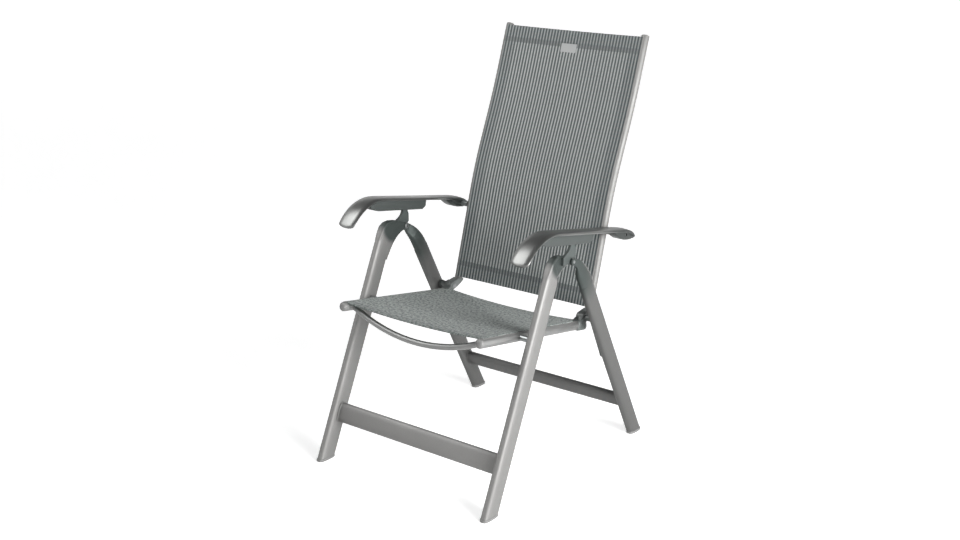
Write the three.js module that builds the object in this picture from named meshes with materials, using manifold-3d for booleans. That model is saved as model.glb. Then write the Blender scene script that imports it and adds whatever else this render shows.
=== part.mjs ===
// Folding armchair with a high reclining back, in millimetres, +Z up.
// The sitter faces -Y and the sitter's left is +X. The origin is on the floor,
// under the middle of the chair's overall depth and width.

import * as THREE from 'three';
import { mergeVertices } from 'three/addons/utils/BufferGeometryUtils.js';
import Module from 'manifold-3d';

const wasm = await Module();
wasm.setup();

const radians = THREE.MathUtils.degToRad;

// Leg frames, seen from the side. Both pairs of legs meet at the apex joints.
const apexHeight = 583;
const frontLegLean = radians(24.2);
const rearLegLean = radians(27.65);
const frontLegSetback = 74;
const rearLegSetback = 30.6;
const frontFootReach = frontLegSetback + apexHeight * Math.tan(frontLegLean);
const rearFootReach = rearLegSetback + apexHeight * Math.tan(rearLegLean);
const frontLegWidth = 52;
const rearLegWidth = 45;
const legThickness = 24;
const legOffset = 280;
const frontLegEnd = apexHeight - 66;
const rearLegEnd = apexHeight - 78;
const frontBarHeight = 122;
const frontBarDepth = 53;
const rearBarHeight = 112;
const rearBarDepth = 45;
const barThickness = 22;
const footHeight = 7;
const footLip = 0.9;
const footRise = 3;

// Apex joints: a lug on each leg end, with the neck plate of the ratchet between them
const apexLugRadius = 10;
const apexLugThickness = 7.4;
const pinRadius = 4;
const headRadius = 7;
const headHeight = 2.5;
const boreClearance = 0.3;
const seatGap = 0.3;
const neckThickness = 7.4;
const neckPinHeight = 51;
const neckPinSetback = 3.5;
const neckPinRadius = 4;
const neckPinLength = 18;
const neckTopRadius = 7;
const neckWidth = 31;
const neckShoulder = 21;
const neckFootReach = 36;
const rearElbowClear = 17;

// Outlines of the leg castings, [back, up] from the apex: the front elbow's underside, its top,
// its brow and the step down to its thin web, then the rear shoulder's outer side
const elbowUnder = [[-64, -50], [-42, -14], [-5, -8.7]];
const elbowOver = [[-15, 14], [-30, 22], [-45, 25.5]];
const elbowBrow = [[-62, 30], [-82, 30], [-95, 12]];
const elbowStep = [[-70, -90], [-78, -56], [-85, -22], [-86, 6], [-76, 26], [-70, 50]];
const shoulderOver = [[73, -33], [40, 0], [8, 6]];
const castingEdge = 3;

// Seat frame: straight rails that slope down to the back, turning on the front legs
const seatPivotHeight = 412;
const seatSlope = radians(9.5);
const seatRailOffset = 226;
const seatRailRadius = 12.5;
const seatFrontReach = 150;
const hingeReach = 291;
const seatRailRear = hingeReach - 29;
const seatCapLength = 10;
const bowRadius = 8;
const seatBowSag = 49;
const seatFrontBowReach = seatFrontReach - 30;
const seatRearBowReach = hingeReach - 55;
const seatBowDrop = 1;
const spacerRadius = 8;

// Hinge between seat and back, and the links that tie it to the rear legs
const hingeRise = 21;
const hingeLugRadius = 14;
const seatLugEnd = hingeReach + 11;
const hingeLugEdge = 2.5;
const hingeClearTurn = radians(60);
const linkPivotHeight = 271;
const linkWidth = 18;
const linkThickness = 5;
const linkOffset = 259.5;

// Back frame: rails with a lower, a middle and an upper stretch, each at its own lean
const backRailOffset = 225;
const backRailRadius = 11;
const backFootBehind = 34;
const backFootAbove = 14;
const backLowerLength = 327;
const backMiddleLength = 230;
const backUpperLength = 184.5;
const backStretches = [
  { length: backLowerLength, lean: radians(16.3) },
  { length: backMiddleLength, lean: radians(23.1) },
  { length: backUpperLength, lean: radians(18.9) },
];
const backBend = 75;
const backCapLength = 5;
const backBowSag = 28;
const backBowInset = 36;
const backBowDrop = 5;

// Fabric panels between the rails
const slingThickness = 3;
const seatSlingLift = 10.2;
const seatSlingEdge = 216.2;
const seatSlingFront = seatFrontReach - 4;
const seatSlingRear = hingeReach - 13;
const seatSlingSag = 5;
const backSlingLift = 8.7;
const backSlingEdge = 216;
const backSlingStart = 4;
const backSlingEnd = 2.8;
const backSlingSag = 4;

// Armrests, in a frame of their own at the pivot on the back rail. They slope so that
// the neck pin meets the rack a little below the pivot's level.
const armPivotRise = 20.1;
const pinDrop = 12.1;
const armOffset = 284;
const armHalfWidth = 27;
const armThickness = 6.5;
const armRise = 12.6;
const armCrown = 2.2;
const armWall = 2.6;
const armEdgeRadius = 2.5;
const armFrontBend = 130;
const armFrontTurn = radians(62);
const armStraightAhead = 104.3;
const armNose = 9;
const armStraightRear = 20;
const armRearBend = 118;
const armRearTurn = radians(30);
const armTail = 12;
const armLugSpread = 25;
const armLugRadius = 11;
const armLugInner = armOffset - armHalfWidth;
const armLugOuter = 298;
const armPodInner = 271;
const armPodEdge = 2;

// Outline of the pod under each armrest's tail, [back, up] from the pivot
const armPodStart = [-64, 11];
const armPodUnder = [[-44, -5], [-24, -13.6], [4, -13.6], [22, -13.6], [36, -12], [41, -5.5]];
const armPodOver = [[22, 4.6], [2, 10.4], [-18, 12]];

// Half-widths as shares of the full half-width, from the tail to the front tip
const armTailShares = [0.3, 0.52, 0.68, 0.8, 0.89, 0.95, 0.99, 1];
const armMiddleShares = [0.98, 0.96, 0.96, 0.98];
const armFrontShares = [1, 1, 1.01, 1.02, 1.04, 1.05, 1.05, 1.05, 1.04, 1.02, 0.92, 0.68, 0.36];

// Ratchet housing under each armrest, with the toothed rack inside it
const housingHalfWidth = 14;
const housingEdge = 2;
const housingWall = 4;
const housingBottom = 20;
const housingTop = armRise + armThickness / 2 - armWall - seatGap;
const housingBehindPin = 78;
const housingAheadOfPin = 154;
const housingStep = 6;
const housingEndWall = 7;
const housingNose = 36;
const housingNoseTop = -4;
const rackClearance = 0.4;
const rackTop = 5;
const rackChannelHalf = 5;
const rackToothDepth = 4.6;
const rackPlateClear = 1.2;
const reclineStep = 40 / 6;
const reclineStepsUp = 2;
const reclineStepsDown = 4;
const armFollowShare = 0.27;

const overrun = 5;

// Finishes
const finish = (color, metalness, roughness) =>
  new THREE.MeshStandardMaterial({ color, metalness, roughness });
const silverTube = finish(0x9b9b99, 0.8, 0.38);
const castGrey = finish(0x6a706e, 0.5, 0.5);
const armSilver = finish(0x8b8b89, 0.6, 0.35);
const housingGrey = finish(0x666d6b, 0.1, 0.55);
const darkPlastic = finish(0x3f4443, 0.0, 0.6);
const boltSteel = finish(0x8d9090, 0.9, 0.35);
const nylon = finish(0x2e3130, 0.0, 0.5);
const backFabric = finish(0x7f8886, 0.0, 0.85);
const seatFabric = finish(0x737d7a, 0.0, 0.85);

// Places in the side view: y is forward or back, z is up
const frontLegY = (z) => -frontFootReach + z * Math.tan(frontLegLean);
const rearLegY = (z) => rearFootReach - z * Math.tan(rearLegLean);
const apex = new THREE.Vector2(0, apexHeight);
const seatPivot = new THREE.Vector2(frontLegY(seatPivotHeight), seatPivotHeight);
const seatAxis = new THREE.Vector2(Math.cos(seatSlope), -Math.sin(seatSlope));
const seatUp = new THREE.Vector2(Math.sin(seatSlope), Math.cos(seatSlope));
const onSeat = (run, up) => seatPivot.clone().addScaledVector(seatAxis, run).addScaledVector(seatUp, up);
const nearApex = ([run, up]) => new THREE.Vector2(apex.x + run, apex.y + up);
const hinge = onSeat(hingeReach, hingeRise);
const linkPivot = new THREE.Vector2(rearLegY(linkPivotHeight), linkPivotHeight);

const space = (x, p) => new THREE.Vector3(x, p.x, p.y);

// Geometry helpers
const toSideView = new THREE.Matrix4().makeBasis(
  new THREE.Vector3(0, 1, 0),
  new THREE.Vector3(0, 0, 1),
  new THREE.Vector3(1, 0, 0),
);

function welded(geometry) {
  const bare = geometry.index ? geometry.clone() : geometry;
  bare.deleteAttribute('normal');
  bare.deleteAttribute('uv');
  return mergeVertices(bare);
}

function toSolid(geometry) {
  const mesh = welded(geometry);
  const solid = new wasm.Manifold(new wasm.Mesh({
    numProp: 3,
    vertProperties: new Float32Array(mesh.attributes.position.array),
    triVerts: new Uint32Array(mesh.index.array),
  }));
  return solid;
}

function toGeometry(solid) {
  const mesh = solid.getMesh();
  const geometry = new THREE.BufferGeometry();
  const corners = new Float32Array(mesh.vertProperties);
  geometry.setAttribute('position', new THREE.BufferAttribute(corners, mesh.numProp));
  geometry.setIndex(new THREE.BufferAttribute(new Uint32Array(mesh.triVerts), 1));
  return geometry;
}

function cut(geometry, ...tools) {
  let solid = toSolid(geometry);
  for (const tool of tools) solid = solid.subtract(toSolid(tool));
  return toGeometry(solid);
}

function join(geometry, ...others) {
  let solid = toSolid(geometry);
  for (const other of others) solid = solid.add(toSolid(other));
  return toGeometry(solid);
}

// Turns the faces of an indexed skin over
function flipped(geometry) {
  const index = geometry.index.array;
  for (let i = 0; i < index.length; i += 3) {
    [index[i], index[i + 1]] = [index[i + 1], index[i]];
  }
  return geometry;
}

function mirrored(geometry) {
  return flipped(welded(geometry).clone().scale(-1, 1, 1));
}

// A plate drawn in the side view and given its thickness along X
function plate(shape, x0, x1, curveSegments = 10) {
  const settings = { depth: x1 - x0, bevelEnabled: false, curveSegments };
  const geometry = new THREE.ExtrudeGeometry(shape, settings);
  return geometry.applyMatrix4(toSideView).translate(x0, 0, 0);
}

// The same plate with rounded edges
function softPlate(shape, x0, x1, edge, curveSegments = 7) {
  const geometry = new THREE.ExtrudeGeometry(shape, {
    depth: x1 - x0 - 2 * edge,
    bevelThickness: edge,
    bevelSize: edge,
    bevelOffset: -edge,
    bevelSegments: 2,
    curveSegments,
  });
  return geometry.applyMatrix4(toSideView).translate(x0 + edge, 0, 0);
}

function rod(radius, x0, x1, centre, segments = 18) {
  const geometry = new THREE.CylinderGeometry(radius, radius, x1 - x0, segments);
  return geometry.rotateZ(-Math.PI / 2).translate((x0 + x1) / 2, centre.x, centre.y);
}

// A turned part on an X axis: pairs of [x, radius] from one end to the other
function turned(profile, centre, segments = 16) {
  const points = profile.map(([x, radius]) => new THREE.Vector2(radius, x));
  const geometry = new THREE.LatheGeometry(points, segments);
  return geometry.rotateZ(-Math.PI / 2).translate(0, centre.x, centre.y);
}

function flatOval(width, thickness) {
  const radius = thickness / 2;
  const straight = width / 2 - radius;
  const shape = new THREE.Shape();
  shape.absarc(0, straight, radius, 0, Math.PI);
  shape.absarc(0, -straight, radius, Math.PI, 2 * Math.PI);
  return shape;
}

function round(radius) {
  return new THREE.Shape().absarc(0, 0, radius, 0, 2 * Math.PI);
}

function disc(centre, radius) {
  return new THREE.Path().absarc(centre.x, centre.y, radius, 0, 2 * Math.PI);
}

function along(path, section, steps, curveSegments = 8) {
  const settings = { steps, curveSegments, bevelEnabled: false, extrudePath: path };
  return new THREE.ExtrudeGeometry(section, settings);
}

// Turns a closed skin's faces outwards if they point inwards
function outward(geometry) {
  const position = geometry.attributes.position;
  const index = geometry.index.array;
  const corner = [new THREE.Vector3(), new THREE.Vector3(), new THREE.Vector3()];
  let volume = 0;
  for (let i = 0; i < index.length; i += 3) {
    corner.forEach((p, k) => p.fromBufferAttribute(position, index[i + k]));
    volume += corner[0].dot(corner[1].cross(corner[2]));
  }
  return volume < 0 ? flipped(geometry) : geometry;
}

// A skin over rings of points, with both end rings closed
function loft(rings) {
  const count = rings[0].length;
  const position = rings.flat().flatMap((p) => [p.x, p.y, p.z]);
  const index = [];
  for (let r = 0; r + 1 < rings.length; r += 1) {
    for (let i = 0; i < count; i += 1) {
      const a = r * count + i;
      const b = r * count + ((i + 1) % count);
      index.push(a, b, b + count, a, b + count, a + count);
    }
  }
  const closeEnd = (ring, offset, flip) => {
    const spokes = ring.map((p) => p.clone().sub(ring[0]));
    const u = spokes[Math.floor(count / 4)].clone().normalize();
    const normal = new THREE.Vector3();
    spokes.forEach((p, i) => normal.add(p.clone().cross(spokes[(i + 1) % count])));
    const v = normal.normalize().cross(u);
    const flat = spokes.map((p) => new THREE.Vector2(p.dot(u), p.dot(v)));
    for (const [a, b, c] of THREE.ShapeUtils.triangulateShape(flat, [])) {
      index.push(offset + a, offset + (flip ? c : b), offset + (flip ? b : c));
    }
  };
  closeEnd(rings[0], 0, true);
  closeEnd(rings[rings.length - 1], (rings.length - 1) * count, false);
  const geometry = new THREE.BufferGeometry();
  geometry.setAttribute('position', new THREE.Float32BufferAttribute(position, 3));
  geometry.setIndex(index);
  return outward(geometry);
}

const chair = new THREE.Group();

function place(parent, name, geometry, material) {
  const mesh = new THREE.Mesh(geometry, material);
  mesh.name = name;
  parent.add(mesh);
}

// A piece that the chair has on both sides, drawn on the sitter's left
function placePair(parent, name, geometry, material) {
  place(parent, `${name}_left`, geometry, material);
  place(parent, `${name}_right`, mirrored(geometry), material);
}

// Leg tubes: flat ovals, cut level above the foot and square below the apex joint
function legTube(legY, topHeight, width) {
  const start = space(legOffset, new THREE.Vector2(legY(-width), -width));
  const end = space(legOffset, new THREE.Vector2(legY(topHeight), topHeight));
  const tube = along(new THREE.LineCurve3(start, end), flatOval(width, legThickness), 1, 9);
  const floor = new THREE.BoxGeometry(4 * legThickness, 4 * width, 4 * width);
  floor.translate(legOffset, legY(0), footHeight + seatGap - 2 * width);
  return cut(tube, floor);
}

// A foot cap carries the tube's level outline, with a small lip round it
function footCap(legY, lean, width) {
  const stretch = 1 / Math.cos(lean);
  const sole = flatOval(width + 2 * footLip, legThickness + 2 * footLip);
  const cap = new THREE.ExtrudeGeometry(sole, {
    depth: footHeight - footRise,
    bevelThickness: footRise / 2,
    bevelSize: footRise / 2,
    bevelOffset: -footRise / 2,
    bevelSegments: 2,
    curveSegments: 6,
  });
  cap.scale(1, stretch, 1);
  return cap.translate(legOffset, legY(footHeight / 2), footRise / 2);
}

// Crossbars: flat ovals between the legs' inner faces, leaning as the legs do
function crossbar(legY, lean, height, depth) {
  const reach = legOffset - legThickness / 2 - seatGap;
  const centre = new THREE.Vector2(legY(height), height);
  const path = new THREE.LineCurve3(space(-reach, centre), space(reach, centre));
  const bar = along(path, flatOval(depth, barThickness), 1, 9);
  bar.translate(0, -centre.x, -centre.y);
  bar.computeBoundingBox();
  const tall = bar.boundingBox.max.z - bar.boundingBox.min.z > depth / 2 + barThickness / 2;
  bar.rotateX((tall ? 0 : Math.PI / 2) + lean);
  return bar.translate(0, centre.x, centre.y);
}

// Front leg frame, which everything else hangs on
placePair(chair, 'front_leg', legTube(frontLegY, frontLegEnd, frontLegWidth), silverTube);
placePair(chair, 'front_foot', footCap(frontLegY, frontLegLean, frontLegWidth), darkPlastic);
const frontBar = crossbar(frontLegY, -frontLegLean, frontBarHeight, frontBarDepth);
place(chair, 'front_crossbar', frontBar, silverTube);

// The elbow closes the front leg's top, turns back and ends in the inner lug of the apex joint
const legInner = legOffset - legThickness / 2;
const legOuter = legOffset + legThickness / 2;
const lugInnerEnd = legInner + apexLugThickness;
const neckInner = legOffset - neckThickness / 2;
const neckOuter = legOffset + neckThickness / 2;
const lugOuterStart = legOuter - apexLugThickness;
const frontEnd = new THREE.Vector2(frontLegY(frontLegEnd), frontLegEnd);
const frontAcross = new THREE.Vector2(Math.cos(frontLegLean), -Math.sin(frontLegLean));
const frontUp = new THREE.Vector2(Math.sin(frontLegLean), Math.cos(frontLegLean));

function curveThrough(shape, points) {
  shape.bezierCurveTo(...points.flatMap((p) => [p.x, p.y]));
}

const elbowBack = frontEnd.clone().addScaledVector(frontAcross, frontLegWidth / 2);
const elbowFront = frontEnd.clone().addScaledVector(frontAcross, -frontLegWidth / 2);
elbowBack.addScaledVector(frontUp, seatGap);
elbowFront.addScaledVector(frontUp, seatGap);
const elbowShape = new THREE.Shape();
elbowShape.moveTo(elbowFront.x, elbowFront.y);
elbowShape.lineTo(elbowBack.x, elbowBack.y);
curveThrough(elbowShape, elbowUnder.map(nearApex));
elbowShape.absarc(apex.x, apex.y, apexLugRadius, -2 * Math.PI / 3, 7 * Math.PI / 12, false);
curveThrough(elbowShape, elbowOver.map(nearApex));
curveThrough(elbowShape, elbowBrow.map(nearApex));

// Outboard of the inner lug, the elbow steps down to a thin web behind the neck plate
const elbowRelief = new THREE.Shape(elbowStep.map(nearApex));
elbowRelief.lineTo(apex.x + neckFootReach, apex.y + neckPinHeight);
elbowRelief.lineTo(apex.x + neckFootReach, apex.y - 2 * neckPinHeight);
const apexBore = rod(pinRadius + boreClearance, legInner - overrun, legOuter + overrun, apex);
const elbow = cut(
  softPlate(elbowShape, legInner, legOuter, castingEdge),
  plate(elbowRelief, lugInnerEnd, legOuter + overrun),
  apexBore,
);
placePair(chair, 'front_elbow', elbow, castGrey);

// The neck plate stands between the lugs and rises into the housing; its pin meets the rack
const neckPin = new THREE.Vector2(apex.x + neckPinSetback, apex.y + neckPinHeight);
const neckShape = new THREE.Shape();
neckShape.absarc(apex.x, apex.y, apexLugRadius, -Math.PI / 2, 0, false);
neckShape.lineTo(neckPin.x + neckWidth / 2, apex.y + apexLugRadius);
neckShape.lineTo(neckPin.x + neckWidth / 2, neckPin.y - neckShoulder);
neckShape.lineTo(neckPin.x + neckTopRadius, neckPin.y);
neckShape.absarc(neckPin.x, neckPin.y, neckTopRadius, 0, Math.PI, false);
neckShape.quadraticCurveTo(neckPin.x - neckTopRadius, neckPin.y - neckShoulder,
  apex.x - neckFootReach + apexLugRadius, apex.y + rearElbowClear + apexLugRadius / 2);
neckShape.lineTo(apex.x - neckFootReach + seatGap, apex.y + rearElbowClear);
neckShape.lineTo(apex.x - neckFootReach + seatGap, apex.y + apexLugRadius);
neckShape.lineTo(apex.x - neckFootReach + seatGap, apex.y - apexLugRadius / 3);
neckShape.lineTo(apex.x - apexLugRadius, apex.y - apexLugRadius / 3);
neckShape.holes.push(disc(apex, pinRadius + boreClearance));
neckShape.holes.push(disc(neckPin, neckPinRadius + boreClearance / 2));
placePair(chair, 'neck_plate', plate(neckShape, neckInner, neckOuter), castGrey);
const neckPinInner = legOffset - neckPinLength / 2;
const neckPinOuter = legOffset + neckPinLength / 2;
placePair(chair, 'neck_pin', rod(neckPinRadius, neckPinInner, neckPinOuter, neckPin), boltSteel);

// A pin holds the apex joint together, headed inside and peened low outside
const apexPin = turned([
  [legInner - headHeight, 0],
  [legInner - headHeight, headRadius / 2],
  [legInner - seatGap - headHeight / 3, headRadius],
  [legInner - seatGap, headRadius],
  [legInner - seatGap, pinRadius],
  [legOuter + seatGap, pinRadius],
  [legOuter + seatGap, pinRadius + seatGap],
  [legOuter + headHeight / 2, pinRadius / 2],
  [legOuter + headHeight / 2, 0],
], apex);
placePair(chair, 'apex_pin', apexPin, boltSteel);

// Shoulder bolts on the front legs, which the seat rails turn on
const railInner = seatRailOffset - seatRailRadius;
const railOuter = seatRailOffset + seatRailRadius;
const seatBolt = turned([
  [railInner - headHeight, 0],
  [railInner - headHeight, headRadius / 2],
  [railInner - seatGap - headHeight / 3, headRadius],
  [railInner - seatGap, headRadius],
  [railInner - seatGap, pinRadius],
  [railOuter + seatGap, pinRadius],
  [railOuter + seatGap, spacerRadius],
  [legInner - seatGap, spacerRadius],
  [legInner - seatGap, 0],
], seatPivot);
placePair(chair, 'seat_bolt', seatBolt, boltSteel);

// Rear leg frame, which folds about the apex pins
const rearFrame = new THREE.Group();
chair.add(rearFrame);
placePair(rearFrame, 'rear_leg', legTube(rearLegY, rearLegEnd, rearLegWidth), silverTube);
placePair(rearFrame, 'rear_foot', footCap(rearLegY, rearLegLean, rearLegWidth), darkPlastic);
place(rearFrame, 'rear_crossbar', crossbar(rearLegY, rearLegLean, rearBarHeight, rearBarDepth), silverTube);

const rearEnd = new THREE.Vector2(rearLegY(rearLegEnd), rearLegEnd);
const rearAcross = new THREE.Vector2(Math.cos(rearLegLean), Math.sin(rearLegLean));
const rearUp = new THREE.Vector2(-Math.sin(rearLegLean), Math.cos(rearLegLean));
const shoulderRear = rearEnd.clone().addScaledVector(rearAcross, rearLegWidth / 2);
const shoulderFront = rearEnd.clone().addScaledVector(rearAcross, -rearLegWidth / 2);
shoulderRear.addScaledVector(rearUp, seatGap);
shoulderFront.addScaledVector(rearUp, seatGap);
const shoulderInner = shoulderFront.clone().addScaledVector(rearUp, 7 * apexLugRadius);
const shoulderShape = new THREE.Shape();
shoulderShape.moveTo(shoulderFront.x, shoulderFront.y);
shoulderShape.lineTo(shoulderRear.x, shoulderRear.y);
curveThrough(shoulderShape, shoulderOver.map(nearApex));
shoulderShape.absarc(apex.x, apex.y, apexLugRadius, radians(40), radians(235), false);
shoulderShape.lineTo(shoulderInner.x, shoulderInner.y);
const shoulderRelief = rod(rearElbowClear, legInner - overrun, lugOuterStart, apex, 32);
const shoulder = cut(softPlate(shoulderShape, legInner, legOuter, castingEdge), shoulderRelief, apexBore);
placePair(rearFrame, 'rear_shoulder', shoulder, castGrey);

// Bolt that carries the link on the rear leg's inner face
const linkInner = linkOffset - linkThickness / 2;
const linkOuter = linkOffset + linkThickness / 2;
const linkBolt = turned([
  [linkInner - seatGap - 2 * headHeight, 0],
  [linkInner - seatGap - 2 * headHeight, headRadius / 2],
  [linkInner - seatGap - headHeight, headRadius],
  [linkInner - seatGap, headRadius],
  [linkInner - seatGap, pinRadius],
  [linkOuter + seatGap, pinRadius],
  [linkOuter + seatGap, spacerRadius],
  [legInner - seatGap, spacerRadius],
  [legInner - seatGap, 0],
], linkPivot);
placePair(rearFrame, 'link_bolt', linkBolt, boltSteel);

// Links: flat bars from the rear legs up to the hinge of seat and back
const links = new THREE.Group();
rearFrame.add(links);
const linkTurn = Math.atan2(hinge.y - linkPivot.y, hinge.x - linkPivot.x);
const linkLeft = linkTurn + Math.PI / 2;
const linkRight = linkTurn - Math.PI / 2;
const linkShape = new THREE.Shape();
linkShape.absarc(linkPivot.x, linkPivot.y, linkWidth / 2, linkLeft, linkLeft + Math.PI, false);
linkShape.absarc(hinge.x, hinge.y, linkWidth / 2, linkRight, linkLeft, false);
linkShape.holes.push(disc(linkPivot, pinRadius + boreClearance));
const linkHead = turned([
  [linkOuter - linkThickness / 2, 0],
  [linkOuter - linkThickness / 2, headRadius],
  [linkOuter + headHeight / 2, headRadius],
  [linkOuter + headHeight, headRadius / 2],
  [linkOuter + headHeight, 0],
], hinge);
placePair(links, 'link', join(plate(linkShape, linkInner, linkOuter), linkHead), castGrey);

// Seat frame, which turns on the front legs
const seat = new THREE.Group();
chair.add(seat);
const railPath = new THREE.LineCurve3(
  space(seatRailOffset, onSeat(-seatFrontReach, 0)),
  space(seatRailOffset, onSeat(seatRailRear, 0)),
);
const seatBore = rod(pinRadius + boreClearance, railInner - overrun, railOuter + overrun, seatPivot);
placePair(seat, 'seat_rail', cut(along(railPath, round(seatRailRadius), 1, 12), seatBore), silverTube);

// Domed plug in the front end of each rail
function plug(radius, length, segments = 18) {
  const profile = [new THREE.Vector2(0, 0), new THREE.Vector2(radius, 0)];
  for (let i = 0; i <= 4; i += 1) {
    const turn = (i / 4) * (Math.PI / 2);
    const rise = length / 3 + (2 * length / 3) * Math.sin(turn);
    profile.push(new THREE.Vector2(radius * Math.cos(turn), rise));
  }
  return new THREE.LatheGeometry(profile, segments);
}
const seatCapAt = onSeat(-seatFrontReach - seatGap, 0);
const seatCap = plug(seatRailRadius, seatCapLength).rotateX(Math.PI - seatSlope);
placePair(seat, 'seat_cap', seatCap.translate(seatRailOffset, seatCapAt.x, seatCapAt.y), castGrey);

// Bowed tubes that hold a pair of rails apart, sagging away from the fabric
function bow(halfSpan, sag, steps) {
  const radius = (halfSpan * halfSpan + sag * sag) / (2 * sag);
  const turn = Math.asin(halfSpan / radius);
  const points = [];
  for (let i = 0; i <= steps; i += 1) {
    const a = -turn + (2 * turn * i) / steps;
    points.push(new THREE.Vector3(radius * Math.sin(a), 0, radius * (1 - Math.cos(a)) - sag));
  }
  const path = new THREE.CatmullRomCurve3(points);
  return along(path, round(bowRadius), steps, 7);
}
const seatBowHalf = railInner + seatRailRadius;
const railSheath = (reach) => {
  const path = new THREE.LineCurve3(
    space(seatRailOffset, onSeat(reach - 3 * bowRadius, 0)),
    space(seatRailOffset, onSeat(reach + 3 * bowRadius, 0)),
  );
  return along(path, round(seatRailRadius + seatGap), 1, 12);
};
function seatBow(reach) {
  const at = onSeat(reach, -seatBowDrop);
  const tube = bow(seatBowHalf, seatBowSag, 14).rotateX(-seatSlope).translate(0, at.x, at.y);
  const outside = new THREE.BoxGeometry(seatRailOffset, 4 * bowRadius, 2 * seatBowSag + 4 * bowRadius);
  const outer = outside.translate(seatBowHalf + seatRailOffset / 2, at.x, at.y);
  return cut(tube, railSheath(reach), mirrored(railSheath(reach)), outer, mirrored(outer));
}
place(seat, 'seat_front_bow', seatBow(-seatFrontBowReach), silverTube);
place(seat, 'seat_rear_bow', seatBow(seatRearBowReach), silverTube);

// The seat lug plugs the rear end of the rail and rises to the hinge on its outboard half
const seatLugShape = new THREE.Shape();
const lugStart = seatRailRear + seatGap;
const lugLow = onSeat(lugStart, -seatRailRadius);
const lugHeel = onSeat(seatLugEnd - seatRailRadius, -seatRailRadius);
const lugCorner = onSeat(seatLugEnd, -seatRailRadius);
const lugBack = onSeat(seatLugEnd, -seatRailRadius / 6);
const lugHigh = onSeat(lugStart, seatRailRadius);
seatLugShape.moveTo(lugHigh.x, lugHigh.y);
seatLugShape.lineTo(lugLow.x, lugLow.y);
seatLugShape.lineTo(lugHeel.x, lugHeel.y);
seatLugShape.quadraticCurveTo(lugCorner.x, lugCorner.y, lugBack.x, lugBack.y);
const knuckleStart = -seatSlope - hingeClearTurn;
const knuckleEnd = Math.PI - seatSlope;
seatLugShape.absarc(hinge.x, hinge.y, hingeLugRadius, knuckleStart, knuckleEnd, false);
const lugMiddle = seatRailOffset;
const hingeBore = rod(pinRadius + boreClearance, railInner - overrun, railOuter + overrun, hinge);
const reliefRadius = hingeLugRadius + boreClearance;
const lugRelief = new THREE.Shape();
lugRelief.absarc(hinge.x, hinge.y, reliefRadius, knuckleEnd, knuckleEnd + Math.PI / 2, false);
const reliefEnd = hingeReach + 2 * hingeLugRadius;
const reliefLow = onSeat(reliefEnd, hingeRise - reliefRadius);
const reliefHigh = onSeat(reliefEnd, hingeRise + 2 * hingeLugRadius);
const reliefFront = onSeat(hingeReach - reliefRadius, hingeRise + 2 * hingeLugRadius);
lugRelief.lineTo(reliefLow.x, reliefLow.y);
lugRelief.lineTo(reliefHigh.x, reliefHigh.y);
lugRelief.lineTo(reliefFront.x, reliefFront.y);
const seatLug = cut(
  softPlate(seatLugShape, railInner, railOuter, hingeLugEdge),
  plate(lugRelief, railInner - overrun, lugMiddle + seatGap / 2),
  hingeBore,
);
placePair(seat, 'seat_lug', seatLug, darkPlastic);

// Seat fabric, taken up at its rails and slightly hollow between them
function panel(centre, up, halfWidths, sag, steps) {
  const rings = centre.map((p, i) => {
    const under = [];
    const over = [];
    for (let k = 0; k <= steps; k += 1) {
      const share = (2 * k) / steps - 1;
      const dip = sag * (1 - share * share);
      const x = halfWidths[i] * share;
      under.push(space(x, p.clone().addScaledVector(up[i], -dip - slingThickness / 2)));
      over.unshift(space(x, p.clone().addScaledVector(up[i], -dip + slingThickness / 2)));
    }
    return [...under, ...over];
  });
  return loft(rings);
}
const seatSlingLength = seatSlingFront + seatSlingRear;
const railEndShare = (seatSlingFront + seatRailRear) / seatSlingLength;
const seatSteps = [0, railEndShare / 2, railEndShare - seatGap / bowRadius / 2, railEndShare, 1];
const seatHalves = seatSteps.map((share, i) => (i < 3 ? seatSlingEdge : railInner - seatGap));
const seatLine = seatSteps.map((share) => onSeat(share * seatSlingLength - seatSlingFront, seatSlingLift));
const seatLineUp = seatLine.map(() => seatUp);
place(seat, 'seat_sling', panel(seatLine, seatLineUp, seatHalves, seatSlingSag, 8), seatFabric);

// Hinge bolts between seat and back, each with a spacer out to the link
const hingeBolt = turned([
  [railInner - headHeight, 0],
  [railInner - headHeight, headRadius / 2],
  [railInner - seatGap - headHeight / 3, headRadius],
  [railInner - seatGap, headRadius],
  [railInner - seatGap, pinRadius],
  [linkInner - seatGap, pinRadius],
  [linkInner - seatGap, 0],
], hinge);
const hingePins = new THREE.Group();
seat.add(hingePins);
placePair(hingePins, 'hinge_bolt', hingeBolt, boltSteel);
const spacerShape = round(spacerRadius);
spacerShape.holes.push(disc(new THREE.Vector2(0, 0), pinRadius + boreClearance / 2));
const hingeSpacer = plate(spacerShape, railOuter + seatGap, linkInner - seatGap);
placePair(hingePins, 'hinge_spacer', hingeSpacer.translate(0, hinge.x, hinge.y), darkPlastic);

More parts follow.
